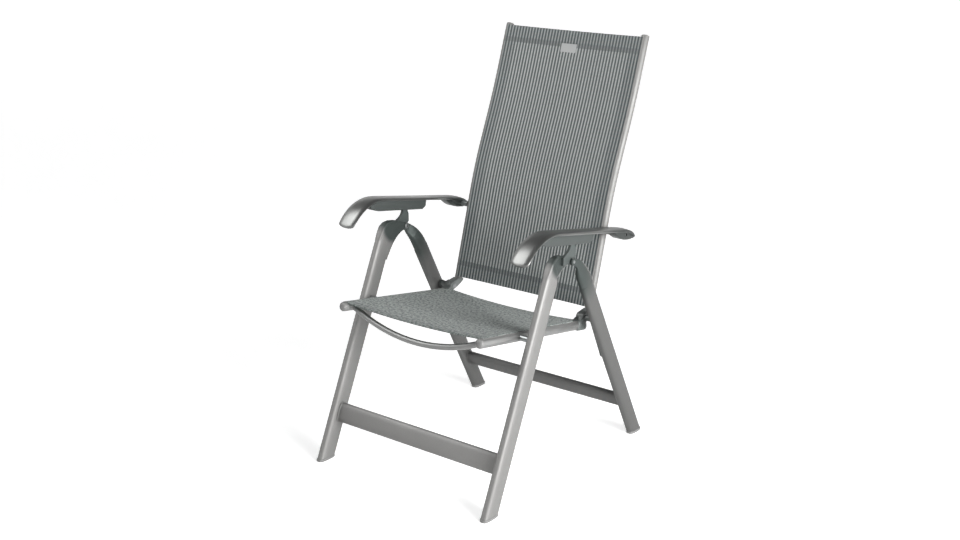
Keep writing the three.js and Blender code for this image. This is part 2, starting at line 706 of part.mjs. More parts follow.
// Back rails: three straight stretches with easy bends between them
const back = new THREE.Group();
hingePins.add(back);
const backFoot = new THREE.Vector2(hinge.x + backFootBehind, hinge.y + backFootAbove);
const backCorners = [backFoot];
for (const { length, lean } of backStretches) {
  const run = new THREE.Vector2(Math.sin(lean), Math.cos(lean)).multiplyScalar(length);
  backCorners.push(backCorners[backCorners.length - 1].clone().add(run));
}
function backPath(x) {
  const path = new THREE.CurvePath();
  let from = backCorners[0];
  for (let i = 1; i + 1 < backCorners.length; i += 1) {
    const corner = backCorners[i];
    const before = corner.clone().sub(backCorners[i - 1]).normalize();
    const after = backCorners[i + 1].clone().sub(corner).normalize();
    const enter = corner.clone().addScaledVector(before, -backBend);
    const leave = corner.clone().addScaledVector(after, backBend);
    path.add(new THREE.LineCurve3(space(x, from), space(x, enter)));
    path.add(new THREE.QuadraticBezierCurve3(space(x, enter), space(x, corner), space(x, leave)));
    from = leave;
  }
  path.add(new THREE.LineCurve3(space(x, from), space(x, backCorners[backCorners.length - 1])));
  return path;
}
const backRailPath = backPath(backRailOffset);
const backLength = backRailPath.getLength();
function onBack(distance) {
  const share = distance / backLength;
  const p = backRailPath.getPointAt(share);
  const t = backRailPath.getTangentAt(share);
  return {
    at: new THREE.Vector2(p.y, p.z),
    out: new THREE.Vector2(-t.z, t.y),
    run: new THREE.Vector2(t.y, t.z),
    lean: Math.atan2(t.y, t.z),
  };
}
const armPivotAlongBack = (apexHeight + armPivotRise - backFoot.y) / Math.cos(backStretches[0].lean);
const armPivot = onBack(armPivotAlongBack).at;
const backInner = backRailOffset - backRailRadius;
const backOuter = backRailOffset + backRailRadius;
const armBore = rod(pinRadius + boreClearance, backInner - overrun, backOuter + overrun, armPivot);
placePair(back, 'back_rail', cut(along(backRailPath, round(backRailRadius), 18, 9), armBore), silverTube);

const backTop = onBack(backLength);
const backCap = plug(backRailRadius, backCapLength).rotateX(Math.PI / 2 - backTop.lean);
const backCapAt = backTop.at.clone().addScaledVector(backTop.run, seatGap);
placePair(back, 'back_cap', backCap.translate(backRailOffset, backCapAt.x, backCapAt.y), castGrey);

// The back lug plugs the foot of the rail and reaches forward to the hinge on its inboard half
const foot = onBack(0);
const footEnd = foot.at.clone().addScaledVector(foot.run, -seatGap);
const footRear = footEnd.clone().addScaledVector(foot.out, -backRailRadius);
const footFront = footEnd.clone().addScaledVector(foot.out, backRailRadius);
const footLow = footRear.clone().addScaledVector(foot.run, -backRailRadius);
const heelStart = 3 * Math.PI / 4 - foot.lean;
const heelEnd = 3 * Math.PI / 2 - foot.lean;
const backLugShape = new THREE.Shape();
backLugShape.moveTo(footRear.x, footRear.y);
backLugShape.lineTo(footFront.x, footFront.y);
backLugShape.absarc(hinge.x, hinge.y, hingeLugRadius - boreClearance, heelStart, heelEnd, false);
backLugShape.quadraticCurveTo(footLow.x, footLow.y, footRear.x, footRear.y);
const sweepStart = lugMiddle - seatGap / 2;
const lugSweep = rod(hingeLugRadius + boreClearance, sweepStart, backOuter + overrun, hinge, 32);
const backLug = cut(softPlate(backLugShape, backInner, backOuter, hingeLugEdge), lugSweep, hingeBore);
placePair(back, 'back_lug', backLug, darkPlastic);

// Bowed tubes behind the fabric keep the back rails apart
function backBow(distance) {
  const { at: onAxis, out, run, lean } = onBack(distance);
  const at = onAxis.clone().addScaledVector(out, -backBowDrop);
  const start = onAxis.clone().addScaledVector(run, -3 * bowRadius);
  const end = onAxis.clone().addScaledVector(run, 3 * bowRadius);
  const path = new THREE.LineCurve3(space(backRailOffset, start), space(backRailOffset, end));
  const sheath = along(path, round(backRailRadius + 2 * seatGap), 1, 9);
  const tube = bow(backRailOffset, backBowSag, 14).rotateX(Math.PI / 2 - lean).translate(0, at.x, at.y);
  const outside = new THREE.BoxGeometry(backRailOffset, 2 * backBowSag + 4 * bowRadius, 4 * bowRadius);
  const outer = outside.translate(3 * backRailOffset / 2, at.x, at.y);
  return cut(tube, sheath, mirrored(sheath), outer, mirrored(outer));
}
place(back, 'back_lower_bow', backBow(backBowInset + backSlingStart), silverTube);
place(back, 'back_upper_bow', backBow(backLength - backBowInset), silverTube);

// Back fabric, following the rails
const backPanelSteps = 14;
const backPanelLength = backLength - backSlingEnd - backSlingStart;
const backLine = [];
const backLineOut = [];
for (let i = 0; i <= backPanelSteps; i += 1) {
  const { at, out } = onBack(backSlingStart + (backPanelLength * i) / backPanelSteps);
  backLine.push(at.clone().addScaledVector(out, backSlingLift));
  backLineOut.push(out);
}
const backHalves = backLine.map(() => backSlingEdge);
place(back, 'back_sling', panel(backLine, backLineOut, backHalves, backSlingSag, 8), backFabric);

// Bolts and bushes that carry the armrests on the back rails
const armBolts = new THREE.Group();
back.add(armBolts);
const armBolt = turned([
  [backInner - headHeight, 0],
  [backInner - headHeight, headRadius / 2],
  [backInner - seatGap - headHeight / 3, headRadius],
  [backInner - seatGap, headRadius],
  [backInner - seatGap, pinRadius],
  [armLugOuter - headHeight, pinRadius],
  [armLugOuter - headHeight, 0],
], armPivot);
placePair(armBolts, 'arm_bolt', armBolt, boltSteel);
const armBushes = new THREE.Group();
armBolts.add(armBushes);
const armBush = plate(spacerShape, backOuter + seatGap, armLugInner - seatGap);
placePair(armBushes, 'arm_bush', armBush.translate(0, armPivot.x, armPivot.y), darkPlastic);

// The arm's slope and its lengths ahead of the pivot follow from where the neck pin stands
const toPin = neckPin.clone().sub(armPivot);
const armSlope = Math.atan2(toPin.y, -toPin.x) + Math.asin(pinDrop / toPin.length());
const pinReach = Math.sqrt(toPin.lengthSq() - pinDrop * pinDrop);
const armStraightFront = pinReach + armStraightAhead;
const housingRear = pinReach - housingBehindPin;
const housingFront = pinReach + housingAheadOfPin;

// Armrest shell: a crowned paddle lofted along a line that bends down at both ends
const arms = new THREE.Group();
arms.position.set(0, armPivot.x, armPivot.y);
arms.rotation.x = -armSlope;
armBushes.add(arms);

// The shell's sections in the arm's own frame: t runs forward from the pivot, h is up
const armSections = [];
function addArmSection(t, h, turn, share, hollow) {
  armSections.push({ t, h, turn, share, hollow });
}
const tailTurns = armTailShares.length - 2;
for (const [i, share] of armTailShares.entries()) {
  const turn = armRearTurn * Math.min(1, (tailTurns + 1 - i) / (tailTurns - 1));
  const past = armTail * Math.max(0, 1 - i / 2);
  const t = armStraightRear - armRearBend * Math.sin(turn) - past * Math.cos(turn);
  const h = armRise - armRearBend * (1 - Math.cos(turn)) - past * Math.sin(turn);
  addArmSection(t, h, turn, share, false);
}
for (const [i, share] of armMiddleShares.entries()) {
  const portion = (i + 1) / (armMiddleShares.length + 1);
  const t = armStraightRear + portion * (armStraightFront - armStraightRear);
  addArmSection(t, armRise, 0, share, true);
}
const noseSteps = [0.45, 0.8, 1];
const frontTurns = armFrontShares.length - 1 - noseSteps.length;
for (const [i, share] of armFrontShares.entries()) {
  const turn = armFrontTurn * Math.min(1, i / frontTurns);
  const past = i > frontTurns ? armNose * noseSteps[i - frontTurns - 1] : 0;
  const t = armStraightFront + armFrontBend * Math.sin(turn) + past * Math.cos(turn);
  const h = armRise - armFrontBend * (1 - Math.cos(turn)) - past * Math.sin(turn);
  addArmSection(t, h, -turn, share, i < frontTurns - 1);
}

function armRing({ t, h, turn, share, hollow }) {
  const half = armHalfWidth * share;
  const tall = armThickness / 2;
  const r = armEdgeRadius;
  const brow = tall + armCrown * (2 / 3) * Math.min(1, share);
  const crown = tall + armCrown * Math.min(1, share);
  const inner = half - armWall;
  const roof = hollow ? tall - armWall : armEdgeRadius / 6 - tall;
  const outline = [
    [half - r, -tall], [half, r - tall], [half, tall - r], [half - r, tall],
    [half / 2, brow], [0, crown], [-half / 2, brow],
    [r - half, tall], [-half, tall - r], [-half, r - tall], [r - half, -tall],
    [-inner, -tall], [r / 2 - inner, roof], [inner - r / 2, roof], [inner, -tall],
  ];
  const sine = Math.sin(turn);
  const cosine = Math.cos(turn);
  return outline.map(([x, up]) => new THREE.Vector3(armOffset + x, up * sine - t, h + up * cosine));
}
const shell = loft(armSections.map(armRing));

// A lug under the shell takes the pivot, and a pod fairs it into the tail
const lugShape = new THREE.Shape();
lugShape.absarc(0, 0, armLugRadius, Math.PI, 2 * Math.PI, false);
lugShape.lineTo(armLugRadius, armRise - armThickness / 2);
lugShape.lineTo(-2 * armLugSpread, armRise + armThickness / 4);
lugShape.lineTo(-2 * armLugSpread, armRise - armThickness / 3);
const armLugSolid = plate(lugShape, armLugInner, armLugOuter - seatGap);
const podShape = new THREE.Shape();
podShape.moveTo(...armPodStart);
podShape.bezierCurveTo(...armPodUnder.slice(0, 3).flat());
podShape.bezierCurveTo(...armPodUnder.slice(3).flat());
armPodOver.forEach((point) => podShape.lineTo(...point));
const armPod = softPlate(podShape, armPodInner, armLugOuter, armPodEdge);
const pivotHere = new THREE.Vector2(0, 0);
const armHole = rod(pinRadius + boreClearance, armLugInner - overrun, armLugOuter + overrun, pivotHere);
placePair(arms, 'armrest', cut(join(shell, armLugSolid, armPod), armHole), armSilver);

// Where the neck pin stands in the arm's frame when the back reclines by an angle
function pinInArm(recline) {
  const centre = new THREE.Vector2(0, 0);
  const moved = armPivot.clone().sub(hinge).rotateAround(centre, -recline).add(hinge);
  return neckPin.clone().sub(moved).rotateAround(centre, armFollowShare * recline + armSlope);
}

// Ratchet housing: a trough under the shell, open below for the neck
const housingShape = new THREE.Shape();
housingShape.moveTo(-housingRear, housingTop);
housingShape.lineTo(-armStraightFront, housingTop);
housingShape.lineTo(housingNose - housingFront, housingTop - 2 * housingStep / 3);
housingShape.lineTo(housingStep - housingFront, housingNoseTop);
housingShape.quadraticCurveTo(-housingFront - housingStep, -3 * housingBottom / 4,
  housingNose - housingFront, -housingBottom);
housingShape.lineTo(-housingRear - 2 * housingStep, housingStep / 2 - housingBottom);
housingShape.lineTo(-housingRear, 2 * housingStep - housingBottom);
const slotFront = housingNose + housingStep - housingFront;
const slotRear = -housingRear - housingEndWall;
const slotMiddle = (slotRear + slotFront) / 2;
const slotHalf = housingHalfWidth - housingWall;
const slotHeight = housingTop + housingBottom + overrun;
const slot = new THREE.BoxGeometry(2 * slotHalf, slotRear - slotFront, slotHeight);
slot.translate(legOffset, slotMiddle, rackTop + seatGap - slotHeight / 2);
const housingInner = legOffset - housingHalfWidth;
const housingOuter = legOffset + housingHalfWidth;
const housing = cut(softPlate(housingShape, housingInner, housingOuter, housingEdge), slot);
placePair(arms, 'arm_housing', housing, housingGrey);

// Rack: two rows of notches, one on each side of the channel for the neck plate
const notchAt = [];
for (let i = -reclineStepsUp; i <= reclineStepsDown; i += 1) {
  notchAt.push(pinInArm(radians(i * reclineStep)));
}
const toothGap = neckPinRadius + rackClearance;
const rackShape = new THREE.Shape();
rackShape.moveTo(slotRear - seatGap, rackTop);
rackShape.lineTo(slotFront + seatGap, rackTop);
rackShape.lineTo(slotFront + seatGap, notchAt[notchAt.length - 1].y + toothGap + rackToothDepth);
for (let i = notchAt.length - 1; i >= 0; i -= 1) {
  const { x, y } = notchAt[i];
  const root = y + toothGap + rackToothDepth;
  rackShape.lineTo(x - neckPinRadius, root);
  rackShape.lineTo(x + neckPinRadius, root);
  if (i > 0) {
    const next = notchAt[i - 1];
    rackShape.lineTo(x + neckPinRadius + rackToothDepth / 2, y + toothGap);
    rackShape.lineTo(next.x - neckPinRadius - rackToothDepth / 2, next.y + toothGap);
  }
}
rackShape.lineTo(slotRear - seatGap, notchAt[0].y + toothGap + rackToothDepth);
const rackHalf = slotHalf - seatGap;
const channelRoof = neckTopRadius + rackPlateClear + Math.max(...notchAt.map(({ y }) => y));
const channelLength = slotRear - slotFront + 2 * overrun;
const channel = new THREE.BoxGeometry(2 * rackChannelHalf, channelLength, housingBottom);
channel.translate(legOffset, slotMiddle, channelRoof - housingBottom / 2);
const rack = cut(plate(rackShape, legOffset - rackHalf, legOffset + rackHalf), channel);
placePair(arms, 'arm_rack', rack, nylon);

// The origin goes under the middle of the chair
const bounds = new THREE.Box3().setFromObject(chair);
chair.position.y = -(bounds.min.y + bounds.max.y) / 2;
chair.updateMatrixWorld(true);

export default chair;
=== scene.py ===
# Folding high-back garden armchair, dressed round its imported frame. Metres, +Z up.
# The sitter faces -Y and the sitter's left is +X.
import math

import bmesh
import bpy
from mathutils import Matrix, Vector


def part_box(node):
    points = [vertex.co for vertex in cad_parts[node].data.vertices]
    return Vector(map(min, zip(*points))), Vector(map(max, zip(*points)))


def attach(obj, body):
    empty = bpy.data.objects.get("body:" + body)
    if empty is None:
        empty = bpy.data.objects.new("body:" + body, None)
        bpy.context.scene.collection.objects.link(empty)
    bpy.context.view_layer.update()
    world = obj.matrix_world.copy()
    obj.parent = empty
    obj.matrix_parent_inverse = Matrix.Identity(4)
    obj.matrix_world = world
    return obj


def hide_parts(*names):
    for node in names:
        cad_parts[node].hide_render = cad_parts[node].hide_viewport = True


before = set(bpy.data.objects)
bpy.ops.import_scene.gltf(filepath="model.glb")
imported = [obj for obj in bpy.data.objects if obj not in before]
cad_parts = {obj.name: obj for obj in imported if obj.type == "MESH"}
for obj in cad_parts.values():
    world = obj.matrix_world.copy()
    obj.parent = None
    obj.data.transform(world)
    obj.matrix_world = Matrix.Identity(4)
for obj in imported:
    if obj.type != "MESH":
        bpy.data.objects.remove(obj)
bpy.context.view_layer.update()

# Front legs: soft oval aluminium tube, cut level above the foot cap and square under the
# elbow. The finish is a satin silver coat with a very fine metallic grain.
SIDES = (("left", 1), ("right", -1))
OVAL_SIDES = 56
OVAL_FULLNESS = 3.0
leg_offset = 0.280
leg_thickness = 0.024
front_leg_width = 0.052
front_leg_lean = math.radians(24.2)
front_foot_reach = 0.336
front_leg_end = 0.517
foot_height = 0.007
piece_gap = 0.0003
tube_edge = 0.0005


def middle_of(node):
    low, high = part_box(node)
    return (low + high) / 2


def coat(name, tone, light_tone, metallic, roughness, flake=1500, bump=0.04, specular=0.5):
    """A coated or moulded surface: two near tones in fine flakes, with a slow change of gloss."""
    material = bpy.data.materials.new(name)
    material.use_nodes = True
    nodes, links = material.node_tree.nodes, material.node_tree.links
    shader = nodes["Principled BSDF"]
    place = nodes.new("ShaderNodeTexCoord")
    flakes = nodes.new("ShaderNodeTexNoise")
    flakes.inputs["Scale"].default_value = flake
    flakes.inputs["Detail"].default_value = 3
    slow = nodes.new("ShaderNodeTexNoise")
    slow.inputs["Scale"].default_value = 9
    slow.inputs["Detail"].default_value = 5
    tones = nodes.new("ShaderNodeValToRGB")
    tones.color_ramp.elements[0].position = 0.3
    tones.color_ramp.elements[0].color = (*tone, 1)
    tones.color_ramp.elements[1].position = 0.72
    tones.color_ramp.elements[1].color = (*light_tone, 1)
    gloss = nodes.new("ShaderNodeMapRange")
    gloss.inputs["From Min"].default_value = 0.3
    gloss.inputs["From Max"].default_value = 0.7
    gloss.inputs["To Min"].default_value = roughness - 0.05
    gloss.inputs["To Max"].default_value = roughness + 0.06
    relief = nodes.new("ShaderNodeBump")
    relief.inputs["Strength"].default_value = bump
    relief.inputs["Distance"].default_value = 0.0004
    for noise in (flakes, slow):
        links.new(place.outputs["Object"], noise.inputs["Vector"])
    links.new(flakes.outputs["Fac"], tones.inputs["Fac"])
    links.new(slow.outputs["Fac"], gloss.inputs["Value"])
    links.new(flakes.outputs["Fac"], relief.inputs["Height"])
    links.new(tones.outputs["Color"], shader.inputs["Base Color"])
    links.new(gloss.outputs["Result"], shader.inputs["Roughness"])
    links.new(relief.outputs["Normal"], shader.inputs["Normal"])
    shader.inputs["Metallic"].default_value = metallic
    shader.inputs["Specular IOR Level"].default_value = specular
    return material


def swollen(place, fullness):
    """A place on a unit circle, moved out to the softly squared oval of drawn tube."""
    return math.copysign(abs(place) ** (2 / fullness), place)


def oval_tube(start, end, across, width, thickness):
    """A closed straight tube of soft oval section between two points, wide along across."""
    bm = bmesh.new()
    half_step = Matrix.Rotation(math.pi / OVAL_SIDES, 4, "Z")
    ring = bmesh.ops.create_circle(bm, cap_ends=True, segments=OVAL_SIDES, radius=1, matrix=half_step)
    for v in ring["verts"]:
        v.co.x = swollen(v.co.x, OVAL_FULLNESS) * thickness / 2
        v.co.y = swollen(v.co.y, OVAL_FULLNESS) * width / 2
    run = end - start
    grown = bmesh.ops.extrude_face_region(bm, geom=bm.faces[:])
    far = [g for g in grown["geom"] if isinstance(g, bmesh.types.BMVert)]
    bmesh.ops.translate(bm, verts=far, vec=(0, 0, run.length))
    z_axis = run.normalized()
    y_axis = (across - across.dot(z_axis) * z_axis).normalized()
    turn = Matrix((y_axis.cross(z_axis), y_axis, z_axis)).transposed().to_4x4()
    bmesh.ops.transform(bm, verts=bm.verts, matrix=Matrix.Translation(start) @ turn)
    return bm


def cut_off(bm, point, normal):
    """Cuts away what lies beyond a plane and closes the cut."""
    everything = bm.verts[:] + bm.edges[:] + bm.faces[:]
    cut = bmesh.ops.bisect_plane(bm, geom=everything, plane_co=point, plane_no=normal, clear_outer=True)
    rim = [g for g in cut["geom_cut"] if isinstance(g, bmesh.types.BMEdge)]
    bmesh.ops.edgeloop_fill(bm, edges=rim)


def soften(bm, offset, above=60, segments=2):
    """Rounds the edges where two faces meet at more than an angle in degrees."""
    sharp = [e for e in bm.edges if len(e.link_faces) == 2 and e.calc_face_angle() > math.radians(above)]
    bmesh.ops.bevel(bm, geom=sharp, offset=offset, offset_type="OFFSET", segments=segments, profile=0.5,
                    affect="EDGES", clamp_overlap=True, material=-1)


def finished(bm, name, body, slot, material, *nodes, sharp=40, flipped=False):
    """Makes a piece of a bmesh, with its body, finish and the nodes that it stands for."""
    if flipped:
        bmesh.ops.scale(bm, vec=(-1, 1, 1), verts=bm.verts)
    bmesh.ops.remove_doubles(bm, verts=bm.verts, dist=0.000002)
    bmesh.ops.recalc_face_normals(bm, faces=bm.faces)
    mesh = bpy.data.meshes.new(name)
    bm.to_mesh(mesh)
    bm.free()
    mesh.materials.append(material)
    mesh.shade_smooth()
    mesh.set_sharp_from_angle(angle=math.radians(sharp))
    piece = bpy.data.objects.new(name, mesh)
    bpy.context.scene.collection.objects.link(piece)
    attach(piece, body)
    if nodes:
        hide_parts(*nodes)
    return piece


leg_tones = ((0.195, 0.193, 0.188), (0.245, 0.243, 0.238))
coat_metal = 0.55
coat_roughness = 0.57
silver = coat("satin_silver_coat", *leg_tones, coat_metal, coat_roughness)
apex = middle_of("apex_pin_left")
front_foot_y = apex.y - front_foot_reach
front_leg_up = Vector((0, math.sin(front_leg_lean), math.cos(front_leg_lean)))
front_leg_across = Vector((0, math.cos(front_leg_lean), -math.sin(front_leg_lean)))


def on_front_leg(height):
    return Vector((leg_offset, front_foot_y + height * math.tan(front_leg_lean), height))


for side, sign in SIDES:
    leg = oval_tube(on_front_leg(-front_leg_width), on_front_leg(front_leg_end), front_leg_across,
                    front_leg_width, leg_thickness)
    cut_off(leg, (0, 0, foot_height + piece_gap), (0, 0, -1))
    finished(leg, f"front_leg_tube_{side}", "front_frame", "silver_tube", silver,
             f"front_leg_{side}", flipped=sign < 0)

# Foot caps: moulded plugs in the leg ends, level below, in the colour of the frame.
# A small lip stands round the tube, and the sole's edge is rounded off.
foot_lip = 0.0009
foot_round = 0.0014
rear_leg_lean = math.radians(27.65)
rear_leg_width = 0.045
rear_foot_reach = 0.336
cap_grey = coat("moulded_cap_grey", (0.19, 0.19, 0.186), (0.235, 0.235, 0.23), 0.2, 0.5, 900, 0.08)


def foot_cap(centre_y, lean, width):
    lip = 2 * foot_lip
    bottom = Vector((leg_offset, centre_y, 0))
    cap = oval_tube(bottom, bottom + Vector((0, 0, foot_height)), Vector((0, 1, 0)),
                    width + lip, leg_thickness + lip)
    stretch = Matrix.Translation(bottom) @ Matrix.Diagonal((1, 1 / math.cos(lean), 1, 1))
    bmesh.ops.transform(cap, verts=cap.verts, matrix=stretch @ Matrix.Translation(-bottom))
    soften(cap, foot_round, segments=3)
    return cap


rear_foot_y = apex.y + rear_foot_reach
for side, sign in SIDES:
    for end, y, lean, width in (
        ("front", front_foot_y + foot_height / 2 * math.tan(front_leg_lean), front_leg_lean, front_leg_width),
        ("rear", rear_foot_y - foot_height / 2 * math.tan(rear_leg_lean), rear_leg_lean, rear_leg_width),
    ):
        finished(foot_cap(y, lean, width), f"{end}_foot_cap_{side}", f"{end}_frame", "dark_plastic",
                 cap_grey, f"{end}_foot_{side}", flipped=sign < 0)

# Crossbars: soft oval tubes welded between the legs, leaning as the legs do. A smooth
# coated weld bead runs round each end. The rear frame's coat is painted a deeper grey,
# as painted shade.
bar_thickness = 0.022
front_bar_height = 0.122
front_bar_width = 0.053
rear_bar_height = 0.112
rear_bar_width = 0.045
bead_width = 0.0034
bead_rise = 0.0016
leg_inner = leg_offset - leg_thickness / 2
rear_leg_up = Vector((0, -math.sin(rear_leg_lean), math.cos(rear_leg_lean)))
rear_leg_across = Vector((0, math.cos(rear_leg_lean), math.sin(rear_leg_lean)))


def on_rear_leg(height):
    return Vector((leg_offset, rear_foot_y - height * math.tan(rear_leg_lean), height))


# Painted shade: the same silver as the front, in deeper tones.
rear_tones_painted_shade = ((0.1, 0.1, 0.098), (0.132, 0.132, 0.129))
rear_silver_painted_shade = coat("satin_silver_coat_rear_painted_shade", *rear_tones_painted_shade, coat_metal, coat_roughness)
for end, on_leg, height, width, up, finish in (
    ("front", on_front_leg, front_bar_height, front_bar_width, front_leg_up, silver),
    ("rear", on_rear_leg, rear_bar_height, rear_bar_width, rear_leg_up, rear_silver_painted_shade),
):
    centre = on_leg(height)
    half = Vector((leg_inner - piece_gap, 0, 0))
    centre.x = 0
    bar = oval_tube(centre - half, centre + half, up, width, bar_thickness)
    soften(bar, tube_edge)
    finished(bar, f"{end}_crossbar_tube", f"{end}_frame", "silver_tube", finish, f"{end}_crossbar")
    for side, sign in SIDES:
        root = centre + half
        bead = oval_tube(root - Vector((bead_width, 0, 0)), root, up, width + 2 * bead_rise,
                         bar_thickness + 2 * bead_rise)
        soften(bead, bead_rise * 0.9, segments=3)
        finished(bead, f"{end}_weld_{side}", f"{end}_frame", "silver_tube", finish, flipped=sign < 0)

# Elbows, shoulders and neck plates: the front tube's rounded end, a cast web and brow round it
# and the rear leg's cast end meet on one headed pin. Near that pin the coat is painted dark,
# as painted shade.
cast_grey = coat("cast_joint_grey", (0.05, 0.06, 0.058), (0.07, 0.08, 0.077), 0.0, 0.5, 800, 0.08, 0.3)


def copy_of(node):
    """A CAD node's own faces, merged, for a piece whose modelled form is kept."""
    bm = bmesh.new()
    bm.from_mesh(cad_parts[node].data)
    bmesh.ops.remove_doubles(bm, verts=bm.verts, dist=0.00001)
    bmesh.ops.dissolve_limit(bm, angle_limit=math.radians(0.4), verts=bm.verts, edges=bm.edges)
    return bm


def lofted(sections):
    """A closed form through oval sections, each from a low to a high point, with its two sides in x."""
    bm = bmesh.new()
    half_step = Matrix.Rotation(math.pi / OVAL_SIDES, 4, "Z")
    bmesh.ops.create_circle(bm, cap_ends=True, segments=OVAL_SIDES, radius=1, matrix=half_step)
    cap = bm.faces[:]
    for _ in sections[1:]:
        grown = bmesh.ops.extrude_face_region(bm, geom=cap)
        cap = [g for g in grown["geom"] if isinstance(g, bmesh.types.BMFace)]
        verts = [g for g in grown["geom"] if isinstance(g, bmesh.types.BMVert)]
        bmesh.ops.translate(bm, verts=verts, vec=(0, 0, 1))
    for vert in bm.verts:
        low, high, inner, outer, fullness = sections[round(vert.co.z)]
        beside = (1 + swollen(vert.co.x, fullness)) / 2
        spot = Vector(low).lerp(Vector(high), (1 + swollen(vert.co.y, fullness)) / 2)
        vert.co = Vector((inner + (outer - inner) * beside, apex.y + spot.x, apex.z + spot.y))
    return bm


def coat_deepened_round(name, tones, metallic, roughness, deep, centre, deep_within, plain_beyond):
    """A coat that turns deeper round a centre, placed from the apex pin towards the back and up."""
    material = coat(name, *tones, metallic, roughness)
    tree = material.node_tree
    shader = tree.nodes["Principled BSDF"]
    place = tree.nodes.new("ShaderNodeTexCoord")
    flat = tree.nodes.new("ShaderNodeVectorMath")
    flat.operation = "MULTIPLY"
    flat.inputs[1].default_value = (0, 1, 1)
    reach = tree.nodes.new("ShaderNodeVectorMath")
    reach.operation = "DISTANCE"
    reach.inputs[1].default_value = (0, apex.y + centre[0], apex.z + centre[1])
    near = tree.nodes.new("ShaderNodeMapRange")
    near.interpolation_type = "SMOOTHSTEP"
    near.inputs["From Min"].default_value = deep_within
    near.inputs["From Max"].default_value = plain_beyond
    mixed = tree.nodes.new("ShaderNodeMix")
    mixed.data_type = "RGBA"
    mixed.inputs[6].default_value = (*deep, 1)
    tree.links.new(place.outputs["Object"], flat.inputs[0])
    tree.links.new(flat.outputs[0], reach.inputs[0])
    tree.links.new(reach.outputs["Value"], near.inputs["Value"])
    tree.links.new(near.outputs["Result"], mixed.inputs["Factor"])
    tree.links.new(shader.inputs["Base Color"].links[0].from_socket, mixed.inputs[7])
    tree.links.new(mixed.outputs[2], shader.inputs["Base Color"])
    return material


lug_thickness = 0.0074
leg_outer = leg_offset + leg_thickness / 2
web_gap = 0.0012
web_fullness = 6.0
web_inner = leg_inner + web_gap
web_outer = leg_inner + lug_thickness
lug_start = leg_outer - lug_thickness
elbow_web = (
    ((-0.0815, -0.0790), (-0.1000, -0.0700)), ((-0.0762, -0.0692), (-0.1000, -0.0500)),
    ((-0.0706, -0.0615), (-0.0960, -0.0186)), ((-0.0654, -0.0536), (-0.0930, -0.0022)),
    ((-0.0597, -0.0458), (-0.0880, 0.0115)), ((-0.0536, -0.0383), (-0.0785, 0.0201)),
    ((-0.0470, -0.0312), (-0.0643, 0.0240)), ((-0.0398, -0.0247), (-0.0497, 0.0250)),
    ((-0.0321, -0.0191), (-0.0368, 0.0228)), ((-0.0237, -0.0144), (-0.0248, 0.0187)),
    ((-0.0147, -0.0109), (-0.0133, 0.0139)), ((-0.0050, -0.0087), (-0.0026, 0.0097)),
    ((0.0035, -0.0092), (0.0035, 0.0092)), ((0.0075, -0.0064), (0.0075, 0.0064)),
    ((0.0096, -0.0026), (0.0096, 0.0026)),
)
elbow_brow = (
    ((-0.1070, -0.0415), (-0.1160, -0.0373), 0.2750, 0.2850),
    ((-0.1035, -0.0300), (-0.1130, -0.0257), 0.2725, 0.2875),
    ((-0.0985, -0.0176), (-0.1080, -0.0134), 0.2705, 0.2893),
    ((-0.0920, -0.0050), (-0.1012, -0.0004), 0.2692, 0.2905),
    ((-0.0830, 0.0080), (-0.0918, 0.0160), 0.2684, 0.2905),
    ((-0.0742, 0.0142), (-0.0785, 0.0251), 0.2681, 0.2890),
    ((-0.0643, 0.0160), (-0.0643, 0.0280), 0.2680, 0.2855),
    ((-0.0512, 0.0155), (-0.0497, 0.0266), 0.2680, 0.2795),
    ((-0.0400, 0.0140), (-0.0368, 0.0232), 0.2680, 0.2754),
)
bullet_start = 0.022
bullet_length = 0.064
bullet_lean = 0.45
bullet_bulge = 0.7
BULLET_STEPS = 12
rim_radius = 0.0010
rim_sink = 0.0004
rim_lift = 0.0006
elbow_rim_points = 12
shoulder_rim_radius = 0.0011
shoulder_rim_inset = 0.0030
shoulder_rim_taper = 0.0014
shoulder_rim_back = 0.0008
shoulder_rim_points = 11
shoulder_sections = (
    ((0.0516, -0.0882), (0.0914, -0.0674), 1.00, 2.5), ((0.0458, -0.0771), (0.0838, -0.0546), 1.00, 2.5),
    ((0.0396, -0.0653), (0.0751, -0.0423), 1.00, 2.5), ((0.0344, -0.0554), (0.0654, -0.0306), 0.94, 2.6),
    ((0.0292, -0.0455), (0.0548, -0.0201), 0.78, 2.9), ((0.0245, -0.0366), (0.0436, -0.0108), 0.46, 3.6),
    ((0.0202, -0.0284), (0.0319, -0.0032), 0.10, 5.0), ((0.0159, -0.0202), (0.0200, 0.0025), 0.00, 6.0),
    ((0.0100, -0.0140), (0.0110, 0.0052), 0.00, 6.0), ((0.0040, -0.0100), (0.0040, 0.0085), 0.00, 6.0),
    ((-0.0035, -0.0093), (-0.0035, 0.0092), 0.00, 6.0), ((-0.0075, -0.0064), (-0.0075, 0.0064), 0.00, 6.0),
    ((-0.0096, -0.0026), (-0.0096, 0.0026), 0.00, 6.0),
)
ROUND_SIDES = 40
BOW_SIDES = 28
THIN_SIDES = 12


